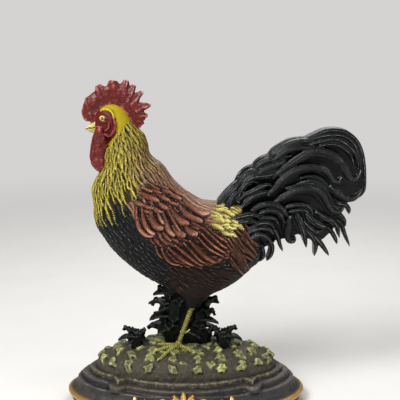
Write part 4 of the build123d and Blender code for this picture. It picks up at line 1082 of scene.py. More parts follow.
def sickle_shell(sickle):
    """One sickle feather of the left half: rings of a scored blade that stands on its layer."""
    steps = STEPS_PER_POINT * len(sickle.line)
    depth = -(PICK_OUT + LAYER_STEP * sickle.layer)
    line = smooth_line([seen_at(*pixel, depth) for pixel in sickle.line], steps)
    ahead = np.gradient(line, axis=0)
    ahead /= np.linalg.norm(ahead, axis=1)[:, None]
    across = np.linspace(-1, 1, SICKLE_COLUMNS)
    strands = max(1, round(sickle.half_width / STRAND_WIDTH))
    crown = SICKLE_CROWN * (1 - SICKLE_FALL * np.abs(across) ** SICKLE_POWER)
    crown = crown + STRAND_DEPTH * np.cos(2 * math.pi * strands * across)
    rings = []
    for i, (place, way) in enumerate(zip(line, ahead)):
        along = i / (steps - 1)
        point = max(LEAST_SHARE, 1 - along ** POINT_POWER) ** POINT_ROUND
        taper = min(1.0, ROOT_SHARE + SPREAD_RATE * along) * point
        foot = CORE_HALF - TIP_SINK + (TIP_SINK + sickle.layer * LAYER_STEP) * (1 - TIP_DIP * along ** 3)
        offset = across * sickle.half_width * taper
        xs, zs = place[0] - way[1] * offset, place[1] + way[0] * offset
        top = np.column_stack([xs, -(foot + crown * min(1.0, taper + CROWN_SPARE)), zs])
        under = np.column_stack([xs, np.full(SICKLE_COLUMNS, -max(0.0, foot - CORE_HALF)), zs])[::-1]
        rings.append(np.vstack([top, under]))
        tail_marks.extend(zip(map(tuple, top), offset))
    return np.array(rings), grid_faces(steps, 2 * SICKLE_COLUMNS)

# %% Fuse the left half of the plume
PLUME_VOXEL = 0.62
plume = Clay()
core_line = [seen_at(*pixel, -CORE_OUT) for pixel in CORE]
core_rings = [[(x, depth, z) for x, z in core_line] for depth in (0, -CORE_HALF)]
plume.add(core_rings, grid_faces(2, len(CORE)))
for sickle in SICKLES:
    plume.add(*sickle_shell(sickle))
tail_half = plume.fuse("plume_left", PLUME_VOXEL)

# %% Mirroring, and paint of one colour
CLOUD_SIZE = 11.0
RELIEF_DEPTH = 1.8


def mirrored(piece, name):
    """The same piece on the other side of the plane Y = 0."""
    twin = into_scene(name, piece.data.copy())
    set_corners(twin, corner_array(twin) * (1, -1, 1))
    twin.data.flip_normals()
    return twin


def one_paint(piece, ground, paint, drag, spread=0.2):
    """One ground and shade colour, one paint colour and one drag and highlight colour, a little uneven over
    the piece.
    """
    cloud = np.array([noise.noise(Vector(c) / CLOUD_SIZE) for c in corner_array(piece)])
    for layer, colour in (("ground", ground), ("paint", paint), ("drag", drag)):
        set_colour(piece, layer, np.outer(1 + spread * cloud, tint(*colour)))


def two_relief(piece, level, broad=24, fine=5):
    """The ridge number from broad relief and fine relief together."""
    relief = relief_of(piece, broad, fine, RELIEF_DEPTH)
    set_number(piece, "ridge", np.clip(level + 0.5 * relief, 0, 1))

# %% Paint the tail and mirror it
# The sheen colour is a painted highlight on the ridge of every strand, and the ground colour in the grooves
# between the strands is partly painted shade.
TAIL_GROUND_AND_SHADE, TAIL_BLACK, TAIL_SHEEN = (2, 2, 3), (10, 12, 13), (176, 182, 182)
one_paint(tail_half, TAIL_GROUND_AND_SHADE, TAIL_BLACK, TAIL_SHEEN)
two_relief(tail_half, 0.36)
finder = finder_of([place for place, _ in tail_marks])
set_number(tail_half, "barb", [tail_marks[finder.find(c)[1]][1] for c in corner_array(tail_half)])
tail_enamel = enamel("tail_enamel", 0.3, 0.36)
hand_over(tail_half, "tail_paint", tail_enamel, "tail_left")
hand_over(mirrored(tail_half, "plume_right"), "tail_paint", tail_enamel, "tail_right")

# %% [markdown]
# ## Comb and wattles
#
# The comb is one fleshy blade whose edge runs out in blunt points that fan backwards. The points are lumps
# that grow out of a thick crescent, fused with the solid that carries them. The wattles hang under the face.
# Both are pebbled like real comb skin, with a coarse noise for folds and a fine one for grain.

# %% Model the comb
COMB_CREST = [
    (-96, 290), (-95, 300), (-89, 308), (-79, 314), (-67, 315.5), (-58, 311), (-51, 304), (-45.5, 297),
    (-42, 288),
]
COMB_POINTS = [
    ([(-93, 300), (-96, 306), (-97, 311.5)], [4.5, 3.6, 1.6]),
    ([(-82, 310), (-84.5, 316), (-85.5, 321.5)], [5.5, 4.8, 3.2]),
    ([(-69.5, 312), (-70, 321), (-70.5, 328)], [6.0, 6.0, 3.6]),
    ([(-60.5, 312), (-58, 320), (-56, 328)], [4.4, 3.8, 2.1]),
    ([(-56.5, 307), (-52, 315.5), (-48.5, 323)], [3.6, 3.0, 1.6]),
    ([(-53, 303), (-47, 309.5), (-41, 316)], [3.6, 3.0, 1.8]),
    ([(-48, 297), (-41, 301), (-33.5, 304)], [3.6, 3.0, 1.9]),
    ([(-46, 291.5), (-41.5, 293), (-36.8, 293)], [3.6, 2.8, 1.6]),
    ([(-46, 288), (-43, 287), (-40.5, 285)], [3.6, 2.8, 1.4]),
    ([(-94, 296), (-91, 291), (-85, 289)], [4.4, 4.6, 4.6]),
]
CREST_WIDTHS = [4.0, 6.5, 7.5, 7.5, 7.0, 5.5, 3.5]
COMB_HALF, FINGER_HALF, BLUNT = 3.9, 4.4, 0.6
FLESH_VOXEL, FLESH_ROUNDS = 0.55, 3
comb_clay = Clay()
comb_clay.add(*node_arrays("comb"))
crest_line = [(x, 0, z) for x, z in smooth_line(COMB_CREST, 40)]
comb_clay.add(*lobe(crest_line, CREST_WIDTHS, COMB_HALF))
for line, half_widths in COMB_POINTS:
    finger = [(x, 0, z) for x, z in smooth_line(line, 16)]
    comb_clay.add(*lobe(finger, half_widths + [BLUNT * half_widths[-1]], FINGER_HALF))
comb = comb_clay.fuse("comb_flesh", FLESH_VOXEL, FLESH_ROUNDS)
pebble(comb, 7.0, 0.9)
pebble(comb, 2.2, 0.22)

# %% Model the wattles
WATTLE_LINE = [(-83, 284), (-84, 272), (-84.5, 260), (-83.5, 249), (-81, 241)]
WATTLE_WIDTHS = [3.6, 6.0, 8.4, 9.8, 9.6, 5.0]
WATTLE_OUT, WATTLE_HALF = 7.5, 4.8
wattle_clay = Clay()
wattle_line = [(x, -WATTLE_OUT, z) for x, z in smooth_line(WATTLE_LINE, 24)]
wattle_clay.add(*lobe(wattle_line, WATTLE_WIDTHS, WATTLE_HALF))
wattle = wattle_clay.fuse("wattle_flesh_left", FLESH_VOXEL, FLESH_ROUNDS)
pebble(wattle, 6.0, 0.8)
pebble(wattle, 2.2, 0.3)

# %% Paint comb and wattles
# The pink drag is partly a painted highlight on the ridges and pebbles of comb and wattles, and the dark
# ground in their hollows partly painted shade.
COMB_GROUND_AND_SHADE, COMB_RED, COMB_PINK = (28, 2, 1), (90, 18, 13), (194, 120, 110)
comb_enamel = enamel("comb_enamel", 0.35, 0.42)
for flesh in (comb, wattle):
    one_paint(flesh, COMB_GROUND_AND_SHADE, COMB_RED, COMB_PINK)
    two_relief(flesh, 0.46, 40, 6)
hand_over(comb, "comb_paint", comb_enamel, "comb")
hand_over(wattle, "comb_paint", comb_enamel, "wattle_left")
hand_over(mirrored(wattle, "wattle_flesh_right"), "comb_paint", comb_enamel, "wattle_right")

# %% [markdown]
# ## Legs
#
# A cockerel's shank is ringed with scutes, with jointed toes, claws and a spur behind. A plain rod with a
# bumpy finish would stay round at its outline. So the radius itself swells and drops once for every scute,
# along the same shank and toes as the solid's, and the dark ground, partly painted shade, stays in the
# grooves.

# %% Bones with scutes, and the ground they stand on
HOCK, FOOT = (6.5, 104.0), (-7.5, 64.5)
LEG_OUT = 20.0
SCUTE, SCUTE_DROP = 2.6, 0.4
Toe = namedtuple("Toe", "reach heading")
TOES = [Toe(23.0, 222.0), Toe(20.0, 192.0), Toe(18.0, 160.0), Toe(15.0, -28.0)]
CLAW, TOE_SEAT = 4.5, 1.6
MOUND_HALF, MOUND_BASE, MOUND_RISE, MOUND_FULLNESS = (92.0, 47.0), 36.0, 26.0, 2.3


def ground_under(x, y):
    """Height of the mound at a place."""
    reach = min(1.0, math.hypot(x / MOUND_HALF[0], y / MOUND_HALF[1]))
    return MOUND_BASE + MOUND_RISE * (1 - reach ** MOUND_FULLNESS) ** (1 / MOUND_FULLNESS)


def ringed(line, start, end, flat):
    """A bone with scutes: its radius swells and drops along it."""
    line = np.asarray(line, float)
    run = np.concatenate([[0], np.cumsum(np.linalg.norm(np.diff(line, axis=0), axis=1))])
    ring = 1 - SCUTE_DROP * np.cos(math.pi * run / SCUTE) ** 2
    widths = np.interp(run, [0, run[-1]], [start, end]) * ring
    return lobe(line, list(widths), widths.max(), flat)

# %% Model and paint the legs
LEG_VOXEL = 0.42
SHANK_RADII, TOE_RADII = (2.8, 2.4), (2.3, 1.5)
KNEE_WIDTHS, ANKLE_WIDTHS = [2.9, 4.4, 5.0], [3.0, 3.6, 3.0]
CLAW_WIDTHS, SPUR_WIDTHS = [1.5, 1.2, 0.4], [2.0, 1.5, 0.5]
SPUR = [(2, 0, 13), (8, 0, 13), (12, 0, 16)]
ACROSS, UP = (0, 1, 0), (0, 0, 1)
LEG_GROUND_AND_SHADE, LEG_YELLOW, LEG_PALE = (10, 9, 3), (108, 104, 40), (196, 192, 112)


def leg_piece(side, name):
    """One leg: a shank that runs up into the thigh and down into the mound, toes with claws, and the spur."""
    clay = Clay()
    out = side * LEG_OUT
    hock, foot = np.array([HOCK[0], out, HOCK[1]]), np.array([FOOT[0], out, FOOT[1]])
    up = (hock - foot) / np.linalg.norm(hock - foot)
    clay.add(*ringed(np.linspace(hock + 4 * up, foot - 2 * up, 150), *SHANK_RADII, ACROSS))
    clay.add(*lobe([hock + t * up for t in np.linspace(-2, 16, 10)], KNEE_WIDTHS, 4.0))
    clay.add(*lobe([foot - t * up for t in np.linspace(-3, 9, 10)], ANKLE_WIDTHS, 3.2))
    for toe in TOES:
        turn = math.radians(toe.heading)
        way = np.array([math.cos(turn), -side * math.sin(turn)])
        line = []
        for reach in np.linspace(0, toe.reach, 80):
            x, y = foot[:2] + way * reach
            rise = (1 - reach / toe.reach) ** 2 * (foot[2] - ground_under(x, y) - TOE_SEAT)
            line.append((x, y, ground_under(x, y) + TOE_SEAT + rise))
        clay.add(*ringed(line, *TOE_RADII, UP))
        tip = np.array(line[-1])
        shares = np.linspace(-0.3, 1, 8)
        claw = [tip + np.append(way * CLAW * t, 0.6 * math.sin(3 * t) - 1.2 * t) for t in shares]
        clay.add(*lobe(claw, CLAW_WIDTHS, 1.4, UP, 10))
    spur = smooth_line([foot + place for place in SPUR], 10)
    clay.add(*lobe(spur, SPUR_WIDTHS, 1.6, ACROSS, 10))
    return clay.fuse("scaled_" + name, LEG_VOXEL)


leg_enamel = enamel("leg_enamel", 0.3, 0.45)
for side, name in ((-1, "leg_left"), (1, "leg_right")):
    shank = leg_piece(side, name)
    # The pale drag on the scute ridges is partly a painted highlight, and the dark ground in the rings
    # between the scutes partly painted shade.
    one_paint(shank, LEG_GROUND_AND_SHADE, LEG_YELLOW, LEG_PALE)
    set_number(shank, "ridge", np.clip(0.48 + 0.9 * height_over(shank, 14), 0, 1))
    hand_over(shank, "leg_paint", leg_enamel, name)

# %% [markdown]
# ## Ferns
#
# The clump under the belly hides the post that carries the bird. Its leaves stand close round the stem like
# the leaves of a capital, cut into lobes and ribbed, and only their tips curl outwards. A flat leaf with a
# leaf picture on it would show at the edge, so each one is a thick blade whose edge swings in and out and
# whose veins are ripples, all fused with the stem.

# %% One lobed leaf
Leaf = namedtuple("Leaf", "heading x height reach rise half_width")
LEAF_ROWS, LEAF_COLUMNS = 46, 13
LEAF_THICK = 2.2
LEAF_LOBES, LOBE_CUT, LOBE_CROWDING = 5, 0.24, 0.9
VEIN, VEIN_SLANT = 0.8, 0.14
RIB, RIB_WIDTH = 1.3, 0.16
LEAF_CUP, LEAST_LEAF = 0.3, 0.08
LEAF_FOOT = 10.0
LEAF_PROFILE = [(0, -0.12), (0.2, 0.3), (0.36, 0.62), (0.6, 0.92), (0.86, 1.0), (1.02, 0.84)]


def lobed_leaf(foot, leaf):
    """A leaf that rises beside its stem and curls out at the tip, with lobed edges, a midrib and veins."""
    turn = math.radians(leaf.heading)
    out = np.array([math.cos(turn), math.sin(turn), 0])
    side = np.array([-math.sin(turn), math.cos(turn), 0])
    root = np.asarray(foot) + np.array([leaf.x, 0, leaf.height])
    spine = smooth_line([(LEAF_FOOT + a * leaf.reach, b * leaf.rise) for a, b in LEAF_PROFILE], LEAF_ROWS)
    slope = np.gradient(spine, axis=0)
    slope /= np.linalg.norm(slope, axis=1)[:, None]
    across = np.linspace(-1, 1, LEAF_COLUMNS)
    rings = []
    for i, (place, way) in enumerate(zip(spine, slope)):
        along = i / (LEAF_ROWS - 1)
        beat = LEAF_LOBES * along ** LOBE_CROWDING
        lobes = 1 - LOBE_CUT + LOBE_CUT * abs(math.cos(math.pi * beat))
        taper = (1 - along ** 2.2) ** 0.8 * (0.75 + 0.25 * math.sin(math.pi * along))
        width = leaf.half_width * max(LEAST_LEAF, taper * lobes)
        face = out * way[1] - np.array([0, 0, way[0]])
        vein = VEIN * np.cos(2 * math.pi * (beat - LEAF_LOBES * VEIN_SLANT * np.abs(across)))
        rib = RIB * np.exp(-(across / RIB_WIDTH) ** 2)
        middle = root + out * place[0] + np.array([0, 0, place[1]])
        level = (rib + vein * np.abs(across) - LEAF_CUP * width * across ** 2)[:, None]
        edge = middle + np.outer(across * width, side)
        top, under = (edge + face * (level + half) for half in (LEAF_THICK / 2, -LEAF_THICK / 2))
        rings.append(np.vstack([top, under[::-1]]))
    return np.array(rings), grid_faces(LEAF_ROWS, 2 * LEAF_COLUMNS)

# %% Leaves of the clump and the two sprigs
TRUNK = [(-3, 56), (-1, 76), (-1, 98), (-3, 120)]
TRUNK_WIDTHS, TRUNK_HALF = [13, 12, 11, 11], 9
CLUMP = [
    Leaf(186, -2, 22, 17, 34, 11), Leaf(178, -2, 6, 22, 36, 12), Leaf(188, -2, 0, 22, 28, 12),
    Leaf(174, -4, -5, 25, 19, 12), Leaf(355, 4, 14, 19, 31, 11), Leaf(6, 4, 2, 16, 28, 12),
    Leaf(352, 6, -5, 17, 18, 11), Leaf(214, -4, 4, 12, 38, 12), Leaf(240, -4, -4, 7, 30, 12),
    Leaf(262, 2, -6, 6, 22, 12), Leaf(300, -6, 6, 7, 44, 12), Leaf(324, 4, 0, 12, 36, 12),
    Leaf(306, 4, -5, 8, 24, 11), Leaf(272, 2, 20, 4, 32, 10), Leaf(228, -4, 24, 7, 28, 10),
    Leaf(146, -4, 4, 12, 38, 12), Leaf(120, -4, -4, 7, 30, 12), Leaf(98, 2, -6, 6, 22, 12),
    Leaf(60, -6, 6, 7, 44, 12), Leaf(36, 4, 0, 12, 36, 12), Leaf(54, 4, -5, 8, 24, 11),
    Leaf(132, -4, 24, 7, 28, 10), Leaf(325, 4, 24, 7, 26, 10), Leaf(282, -10, 16, 13, 32, 10),
    Leaf(248, -8, -3, 14, 24, 11), Leaf(296, 14, -4, 12, 22, 10),
]
SPRIG = [
    Leaf(0, -8, -2, 12, 20, 6), Leaf(45, -6, -2, 10, 14, 6), Leaf(-45, -6, -2, 10, 14, 6),
    Leaf(160, 6, -2, 5, 17, 6), Leaf(-160, 6, -2, 5, 16, 6), Leaf(-85, 0, -2, 2, 13, 6),
    Leaf(85, 0, -2, 2, 13, 6),
]
SPRIGS = {"fern_sprig_left": (-50, -4, 180), "fern_sprig_right": (38, -6, 0)}

# %% Dress the ferns
FERN_VOXEL = 0.7
# The fern black is darkened below its real paint as painted shade under the belly; the grey drag on the leaf
# ridges is partly a painted highlight, and the ground in the veins partly painted shade.
FERN_GROUND_AND_SHADE, FERN_BLACK, FERN_GREY = (2, 3, 2), (9, 12, 9), (72, 82, 70)
fern_enamel = enamel("fern_enamel", 0.14, 0.5)


def fern_piece(node, foot, leaves, heading, trunk=()):
    """A node's solid dressed with lobed leaves, round a thick trunk if it has one."""
    clay = Clay()
    clay.add(*node_arrays(node))
    if trunk:
        clay.add(*lobe([(x, 0, z) for x, z in smooth_line(trunk, 24)], TRUNK_WIDTHS, TRUNK_HALF))
    for leaf in leaves:
        turned = leaf._replace(heading=leaf.heading + heading, x=leaf.x * (-1 if heading == 180 else 1))
        clay.add(*lobed_leaf(foot, turned))
    fern = clay.fuse("leafy_" + node, FERN_VOXEL)
    one_paint(fern, FERN_GROUND_AND_SHADE, FERN_BLACK, FERN_GREY, 0.3)
    two_relief(fern, 0.38, 20, 4)
    hand_over(fern, "fern_paint", fern_enamel, node)


fern_piece("fern_support", (0, 0, ground_under(0, 0)), CLUMP, 0, TRUNK)
for node, (x, y, heading) in SPRIGS.items():
    fern_piece(node, (x, y, ground_under(x, y)), SPRIG, heading)

# %% [markdown]
# ## The grass mound
#
# The mound is strewn with raised tufts like small torn leaves, which the painter touched with pale yellow
# green over grey. The solid has a plain lump for each large tuft. Here every one gets a torn outline: a low
# plateau laid in the plane of the slope, with smaller daubs strewn between.

# %% Shape one tuft
TUFT_RADIUS = 5.6
TUFT_HEIGHT = 1.9
TORN = (0.2, 0.16, 0.14, 0.1, 0.1)
TUFT_SIDES = 30
TUFT_PROFILE = ((1.0, -1.4), (1.0, 0.4), (0.84, 0.9), (0.5, 1.0), (0.05, 0.8))
turf = Clay()
turf_corners, turf_faces = node_arrays("mound")
turf.add(turf_corners, turf_faces)
turf_tree = tree_of(turf_corners, turf_faces)
tuft_marks = []


def tuft(x, y, radius, height, tone):
    """A torn-leaf lump laid in the plane of the slope, and how pale it is painted."""
    middle, up = turf_tree.find_nearest(Vector((x, y, ground_under(x, y))))[:2]
    first = up.orthogonal().normalized()
    second = up.cross(first)
    phases = dice.uniform(0, 2 * math.pi, len(TORN))
    sizes = dice.uniform(0.3, 1.0, len(TORN)) * TORN
    spin, long, size = dice.uniform(0, 2 * math.pi), dice.uniform(1.0, 1.6), radius * dice.uniform(0.75, 1.2)
    along, aside = (first * math.cos(t) + second * math.sin(t) for t in (spin, spin + math.pi / 2))
    rings = []
    for share, lift in TUFT_PROFILE:
        ring = []
        for turn in np.linspace(0, 2 * math.pi, TUFT_SIDES, endpoint=False):
            torn = 0.8 + sum(s * math.cos((k + 2) * turn + p) for k, (s, p) in enumerate(zip(sizes, phases)))
            reach = size * share * torn
            flat = along * (reach * long * math.cos(turn)) + aside * (reach * math.sin(turn))
            place, rise = turf_tree.find_nearest(middle + flat)[:2]
            ring.append(place + rise * height * lift)
            if lift > 0:
                tuft_marks.append((*ring[-1], tone if share < 1 else 0.5 * tone))
        rings.append(ring)
    turf.add(rings, grid_faces(len(rings), TUFT_SIDES))

# %% Strew tufts and daubs over the mound
TUFT_RINGS = [(0.94, 22), (0.77, 18), (0.58, 14)]
DAUBS, DAUB_GAP, DAUB_LIMIT = 170, 5.0, 0.99
GOLDEN_TURN = 2.39996


def on_mound(reach, turn):
    """A place on the mound's plan, at a share of its oval."""
    return Vector((reach * MOUND_HALF[0] * math.cos(turn), reach * MOUND_HALF[1] * math.sin(turn)))


for reach, count in TUFT_RINGS:
    for k in range(count):
        tone = dice.uniform(0.35, 1.15)
        tuft(*on_mound(reach, 2 * math.pi * k / count), TUFT_RADIUS, TUFT_HEIGHT, tone)
sown = [Vector(row[:2]) for row in tuft_marks]
for k in range(DAUBS):
    spot = on_mound(math.sqrt((k + 0.5) / DAUBS) * DAUB_LIMIT, GOLDEN_TURN * k)
    gap = min((spot - other).length for other in sown)
    if gap > DAUB_GAP:
        tuft(*spot, 0.6 * gap, 0.8 * TUFT_HEIGHT, dice.uniform(0.25, 1.0))
        sown.append(spot)
grass = turf.fuse("grass_mound", 0.8)
pebble(grass, 5.0, 0.5)
pebble(grass, 1.8, 0.25)

# %% Paint the mound
TUFT_NEAR, LIGHT_SIZE = 1.3, 11.0
finder = finder_of([row[:3] for row in tuft_marks])
places = corner_array(grass)
found = [finder.find(c) for c in places]
on_tuft = np.array([tuft_marks[index][3] if gap < TUFT_NEAR else 0.0 for _, index, gap in found])
lit = np.array([0.5 + 0.5 * noise.noise(Vector(c) / LIGHT_SIZE) for c in places])
# The drag colours pale the tops of the soil and the tufts, partly as a painted highlight, and the ground
# colours in the hollows are partly painted shade.
SOIL = {"ground": (22, 21, 18), "paint": (60, 56, 46), "drag": (126, 118, 100)}
LEAF = {"ground": (44, 46, 26), "paint": (124, 128, 66), "drag": (206, 208, 146)}
blend = (on_tuft * (0.15 + 1.2 * lit)).clip(0, 1)[:, None]
for layer in SOIL:
    soil, leaf = np.array(tint(*SOIL[layer])), np.array(tint(*LEAF[layer]))
    set_colour(grass, layer, soil + blend * (leaf - soil))
two_relief(grass, 0.5, 16, 4)
hand_over(grass, "grass_paint", enamel("grass_enamel", 0.2, 0.6), "mound")

# %% [markdown]
# ## The plinth and its gilding
#
# The plinth is charcoal enamel with brown dust in its hollows and a worn gilt line on the bead, its widest
# edge; its grooves are darker as painted shade, and its edges paler as wear and painted highlight. The solid
# has the right mouldings, so it is only remeshed and roughened like a casting. The gilt crest on its front is
# modelled over the solid: ridged petals, scrolls with a round section, and buds.

# %% The plinth
BEAD, BEAD_SOFT, BEAD_SHARE = (8.6, 14.4), 1.6, 0.36
PLINTH_HALF, BEAD_EDGE = (119.0, 70.0), 0.985
# The pale drag on the plinth's edges is wear and painted highlight, and its ground colour in the grooves
# partly painted shade.
PLINTH_GROUND_AND_SHADE, PLINTH_CHARCOAL, PLINTH_PALE = (16, 15, 15), (44, 43, 43), (112, 104, 94)
base_clay = Clay()
base_clay.add(*node_arrays("plinth"))
base = base_clay.fuse("cast_plinth", 0.95, 2)
pebble(base, 9.0, 0.35)
pebble(base, 2.4, 0.2)
one_paint(base, PLINTH_GROUND_AND_SHADE, PLINTH_CHARCOAL, PLINTH_PALE, 0.25)
two_relief(base, 0.46, 16, 4)
places = corner_array(base)
off_bead = np.abs(places[:, 2] - sum(BEAD) / 2) / (BEAD_SHARE * (BEAD[1] - BEAD[0]))
at_edge = np.hypot(places[:, 0] / PLINTH_HALF[0], places[:, 1] / PLINTH_HALF[1]) > BEAD_EDGE
set_number(base, "gilt", np.clip(BEAD_SOFT - off_bead, 0, 1) * at_edge)

# %% Gilding over the enamel
GILT_WEAR_AND_SHADE, GILT, GILT_PALE = (70, 48, 26), (196, 152, 78), (232, 206, 140)
DUST = (84, 66, 48)
LEFT_EDGE, WEAR_AND_SHADE_EDGE, RUB_AND_HIGHLIGHT_EDGE, DUST_EDGE = (0.18, 0.42), (0.26, 0.5), (0.56, 0.84), (0.42, 0.66)


def gilding(name, share):
    """Gold paint, rubbed off in places, over whatever lies under it; share says where it was laid."""
    finish = Finish(name, {"Specular IOR Level": 0.4})
    ridge = finish.number("ridge")
    brush, speck = finish.grain(3.5), finish.grain(0.9)
    gold = finish.number("gilt") if share else 1.0
    left = (ridge + 0.5 * (brush - 0.5) + 0.3 * (speck - 0.5)).between(*LEFT_EDGE) * gold
    # Low relief takes the ground colour and the darker worn gold, partly as painted shade; the rubbed drag on
    # the ridges is partly a painted highlight.
    cover = (ridge + 0.36 * (brush - 0.5)).between(*WEAR_AND_SHADE_EDGE)
    drag = (ridge + 0.4 * (brush - 0.5) + 0.2 * (speck - 0.5)).between(*RUB_AND_HIGHLIGHT_EDGE)
    dust = finish.grain(22.0).between(*DUST_EDGE)
    enamelled = finish.mix(cover, finish.colour("ground"), finish.colour("paint"))
    enamelled = finish.mix(0.7 * drag, enamelled, finish.colour("drag"))
    enamelled = finish.mix(0.3 * dust, enamelled, tint(*DUST))
    gilded = finish.mix(cover, tint(*GILT_WEAR_AND_SHADE), tint(*GILT))
    finish.feed(base_color=finish.mix(left, enamelled, gilded), metallic=0.75 * left)
    finish.feed(roughness=0.55 - 0.2 * left + 0.25 * (brush - 0.5))
    finish.feed(normal=finish.bump(speck + 0.6 * brush, 0.18))
    return finish.material


hand_over(base, "plinth_paint", gilding("plinth_enamel", True), "plinth")

# %% The face of the crest
CREST_MIDDLE = np.array([-1.5, -70.0, 14.0])
CREST_LEAN = math.atan2(7.5, 11.0)
CREST_SEAT = 3.2
CREST_UP = np.array([0, math.sin(CREST_LEAN), math.cos(CREST_LEAN)])
CREST_FACE = np.array([0, -math.cos(CREST_LEAN), math.sin(CREST_LEAN)])
crest_clay = Clay()
crest_clay.add(*node_arrays("front_ornament"))


def on_crest(x, height, out):
    """A place on the leaning face of the crest: across, up it, and out from it."""
    return CREST_MIDDLE + np.array([x, 0, 0]) + CREST_UP * height + CREST_FACE * (CREST_SEAT + out)

# %% Press the crest together
PETALS, PETAL_REACH, PETAL_FAN = 5, (3.0, 18.0), 64.0
PETAL_WIDTHS, RIDGE_WIDTHS, RIDGE_OUT = [1.6, 2.6, 3.0, 1.6], [0.9, 0.9, 0.7], 1.2
SCROLLS = [(10.5, 5.0, 6.0), (20.0, 7.0, 4.4)]
COIL, COIL_CLOSING, COIL_WIDTHS = 3.4 * math.pi, 0.075, [1.3, 1.3, 1.3, 1.5]
STEM, STEM_WIDTHS = [(22, 6), (34, 4.5), (47, 8)], [1.4, 1.3, 1.0]
BUDS, BUD_FIRST, BUD_STEP, BUD_WIDTHS = 6, 24, 4.4, [0.9, 1.7, 1.9, 0.8]
for k in range(PETALS):
    turn = math.radians(PETAL_FAN * (2 * k / (PETALS - 1) - 1))
    reaches = np.linspace(*PETAL_REACH, 14)
    spine = [on_crest(math.sin(turn) * r, math.cos(turn) * r, 0.6 * math.sin(r / 6)) for r in reaches]
    crest_clay.add(*lobe(spine, PETAL_WIDTHS, 1.8, CREST_FACE))
    ridge_line = [place + CREST_FACE * RIDGE_OUT for place in spine]
    crest_clay.add(*lobe(ridge_line, RIDGE_WIDTHS, 1.4, CREST_FACE, 8))
for side in (-1, 1):
    for x, height, radius in SCROLLS:
        coil = []
        for s in np.linspace(0, COIL, 60):
            reach = radius * (1 - COIL_CLOSING * s)
            coil.append(on_crest(side * (x - reach * math.cos(s)), height + reach * math.sin(s), 0.1 * s))
        crest_clay.add(*lobe(coil, COIL_WIDTHS, 1.6, CREST_FACE, 10))
    stem = [on_crest(side * x, height, 0.4) for x, height in smooth_line(STEM, 20)]
    crest_clay.add(*lobe(stem, STEM_WIDTHS, 1.5, CREST_FACE, 10))
    for k in range(BUDS):
        x = BUD_FIRST + BUD_STEP * k
        bud = [on_crest(side * (x + 1.2 * t), 5 + (-1) ** k * 5.0 * t, 0.6) for t in np.linspace(0.1, 1, 8)]
        crest_clay.add(*lobe(bud, BUD_WIDTHS, 1.5, CREST_FACE, 10))
crest_clay.add(*ball(on_crest(0, 1.5, 0.6), 3.4))
crest = crest_clay.fuse("gilt_crest", 0.45)
# The pale drag on the crest's ridges is partly a painted highlight, and its dark gold ground in the hollows
# partly painted shade.
one_paint(crest, GILT_WEAR_AND_SHADE, GILT, GILT_PALE)
two_relief(crest, 0.5, 14, 4)
hand_over(crest, "gilding", gilding("crest_gilding", False), "front_ornament")

# %% [markdown]
# ## Felt and fasteners
#
# Under the plinth is a felt pad, and inside are the screws, pins and the tie rod. Their solids have the right
# shapes, so they stay and only get finishes: fibres for the felt, and drawn steel with a little rust.

# %% Finishes for the plain pieces
felt = Finish("green_felt", {"Sheen Weight": 0.4})
fibre = felt.grain(0.7, 6.0)
felt.feed(base_color=felt.mix(fibre, tint(22, 40, 30), tint(52, 76, 58)))
felt.feed(roughness=0.85 + 0.15 * felt.grain(2.0))
felt.feed(normal=felt.bump(fibre, 0.3))
steel = Finish("fastener_steel", {})
rust = steel.grain(4.0, 6.0).between(0.5, 0.7)
steel.feed(base_color=steel.mix(rust, tint(150, 148, 144), tint(96, 58, 36)), metallic=1.0 - 0.8 * rust)
steel.feed(roughness=0.35 + 0.4 * rust, normal=steel.bump(steel.grain(1.2), 0.08))
PLAIN = {"felt_pad": felt}
FASTENERS = (
    "mound_screws", "shell_screws", "shell_pins", "comb_pin", "tail_pin", "tail_dowels", "tie_rod",
    "tie_rod_nut", "tie_rod_washers",
)
PLAIN.update((node, steel) for node in FASTENERS)
for node, finish in PLAIN.items():
    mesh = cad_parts[node].data
    mesh.materials.clear()
    mesh.materials.append(finish.material)
print("plain pieces:", len(PLAIN))

# %% [markdown]
# ## Floor, light and camera
#
# The ornament stands on a plain pale floor in soft light: a large key lamp high on the left and in front, a
# weak fill from the right, and an even grey sky. The camera looks a little down on it, from the bird's left.

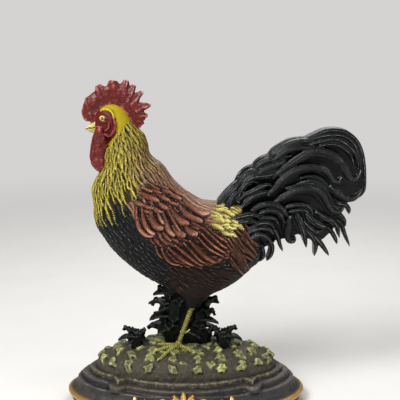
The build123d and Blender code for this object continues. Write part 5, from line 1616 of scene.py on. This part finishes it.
# %% The floor, which fades into the haze
HAZE = (0.66, 0.65, 0.64)
NEAR, FAR = 0.32, 1.5
FLOOR_HALF = 9000.0
floor_corners = [(a * FLOOR_HALF, b * FLOOR_HALF, 0) for a, b in ((-1, -1), (1, -1), (1, 1), (-1, 1))]
floor = new_piece("floor", floor_corners, [[0, 1, 2, 3]])
paper = Finish("floor_paint", {"Roughness": 0.9})
paper.feed(base_color=paper.mix(paper.grain(60.0), tint(212, 210, 206), tint(220, 218, 214)))
spot = paper.add("ShaderNodeNewGeometry", {}, {}, "Position")
away = paper.add("ShaderNodeVectorMath", {"operation": "LENGTH"}, {0: spot}, "Value").between(NEAR, FAR)
haze = paper.add("ShaderNodeEmission", {}, {"Color": HAZE})
seen = away * paper.add("ShaderNodeLightPath", {}, {}, "Is Camera Ray")
faded = paper.add("ShaderNodeMixShader", {}, {0: seen, 1: Wire(paper, paper.shader.outputs[0]), 2: haze})
paper.join(faded, paper.tree.nodes["Material Output"].inputs["Surface"])
floor.data.materials.append(paper.material)
print("floor fades from", NEAR, "to", FAR, "metres")

# %% Lamps and sky
Lamp = namedtuple("Lamp", "place size energy")
LAMPS = [
    Lamp((-520, -700, 1000), 560, 20.0), Lamp((800, -420, 520), 700, 3.5), Lamp((160, 760, 900), 600, 7.0),
]
AIM = Vector((0, 0, 170)) * MM
SKY_LIGHT = (0.2, 0.2, 0.21)
for number, lamp in enumerate(LAMPS):
    light = bpy.data.lights.new("lamp_%d" % number, "AREA")
    light.energy, light.size = lamp.energy, lamp.size * MM
    holder = into_scene(light.name, light)
    holder.location = Vector(lamp.place) * MM
    holder.rotation_euler = (holder.location - AIM).to_track_quat("Z", "Y").to_euler()
sky = bpy.data.worlds.new("sky")
sky.use_nodes = True
air = Graph(sky.node_tree)
straight = air.add("ShaderNodeLightPath", {}, {}, "Is Camera Ray")
air.join(air.mix(straight, SKY_LIGHT, HAZE), air.tree.nodes["Background"].inputs["Color"])
bpy.context.scene.world = sky
print("lamps:", [lamp.energy for lamp in LAMPS])

# %% Camera
camera_data = bpy.data.cameras.new("camera")
camera_data.lens, camera_data.sensor_width = LENS, SENSOR
camera = into_scene("camera", camera_data)
camera.location = Vector(VIEW_PLACE.round(1)) * MM
camera.rotation_euler = (math.radians(90 - VIEW_TILT), 0, 0)
bpy.context.scene.camera = camera
bpy.context.scene.view_settings.view_transform = "Standard"
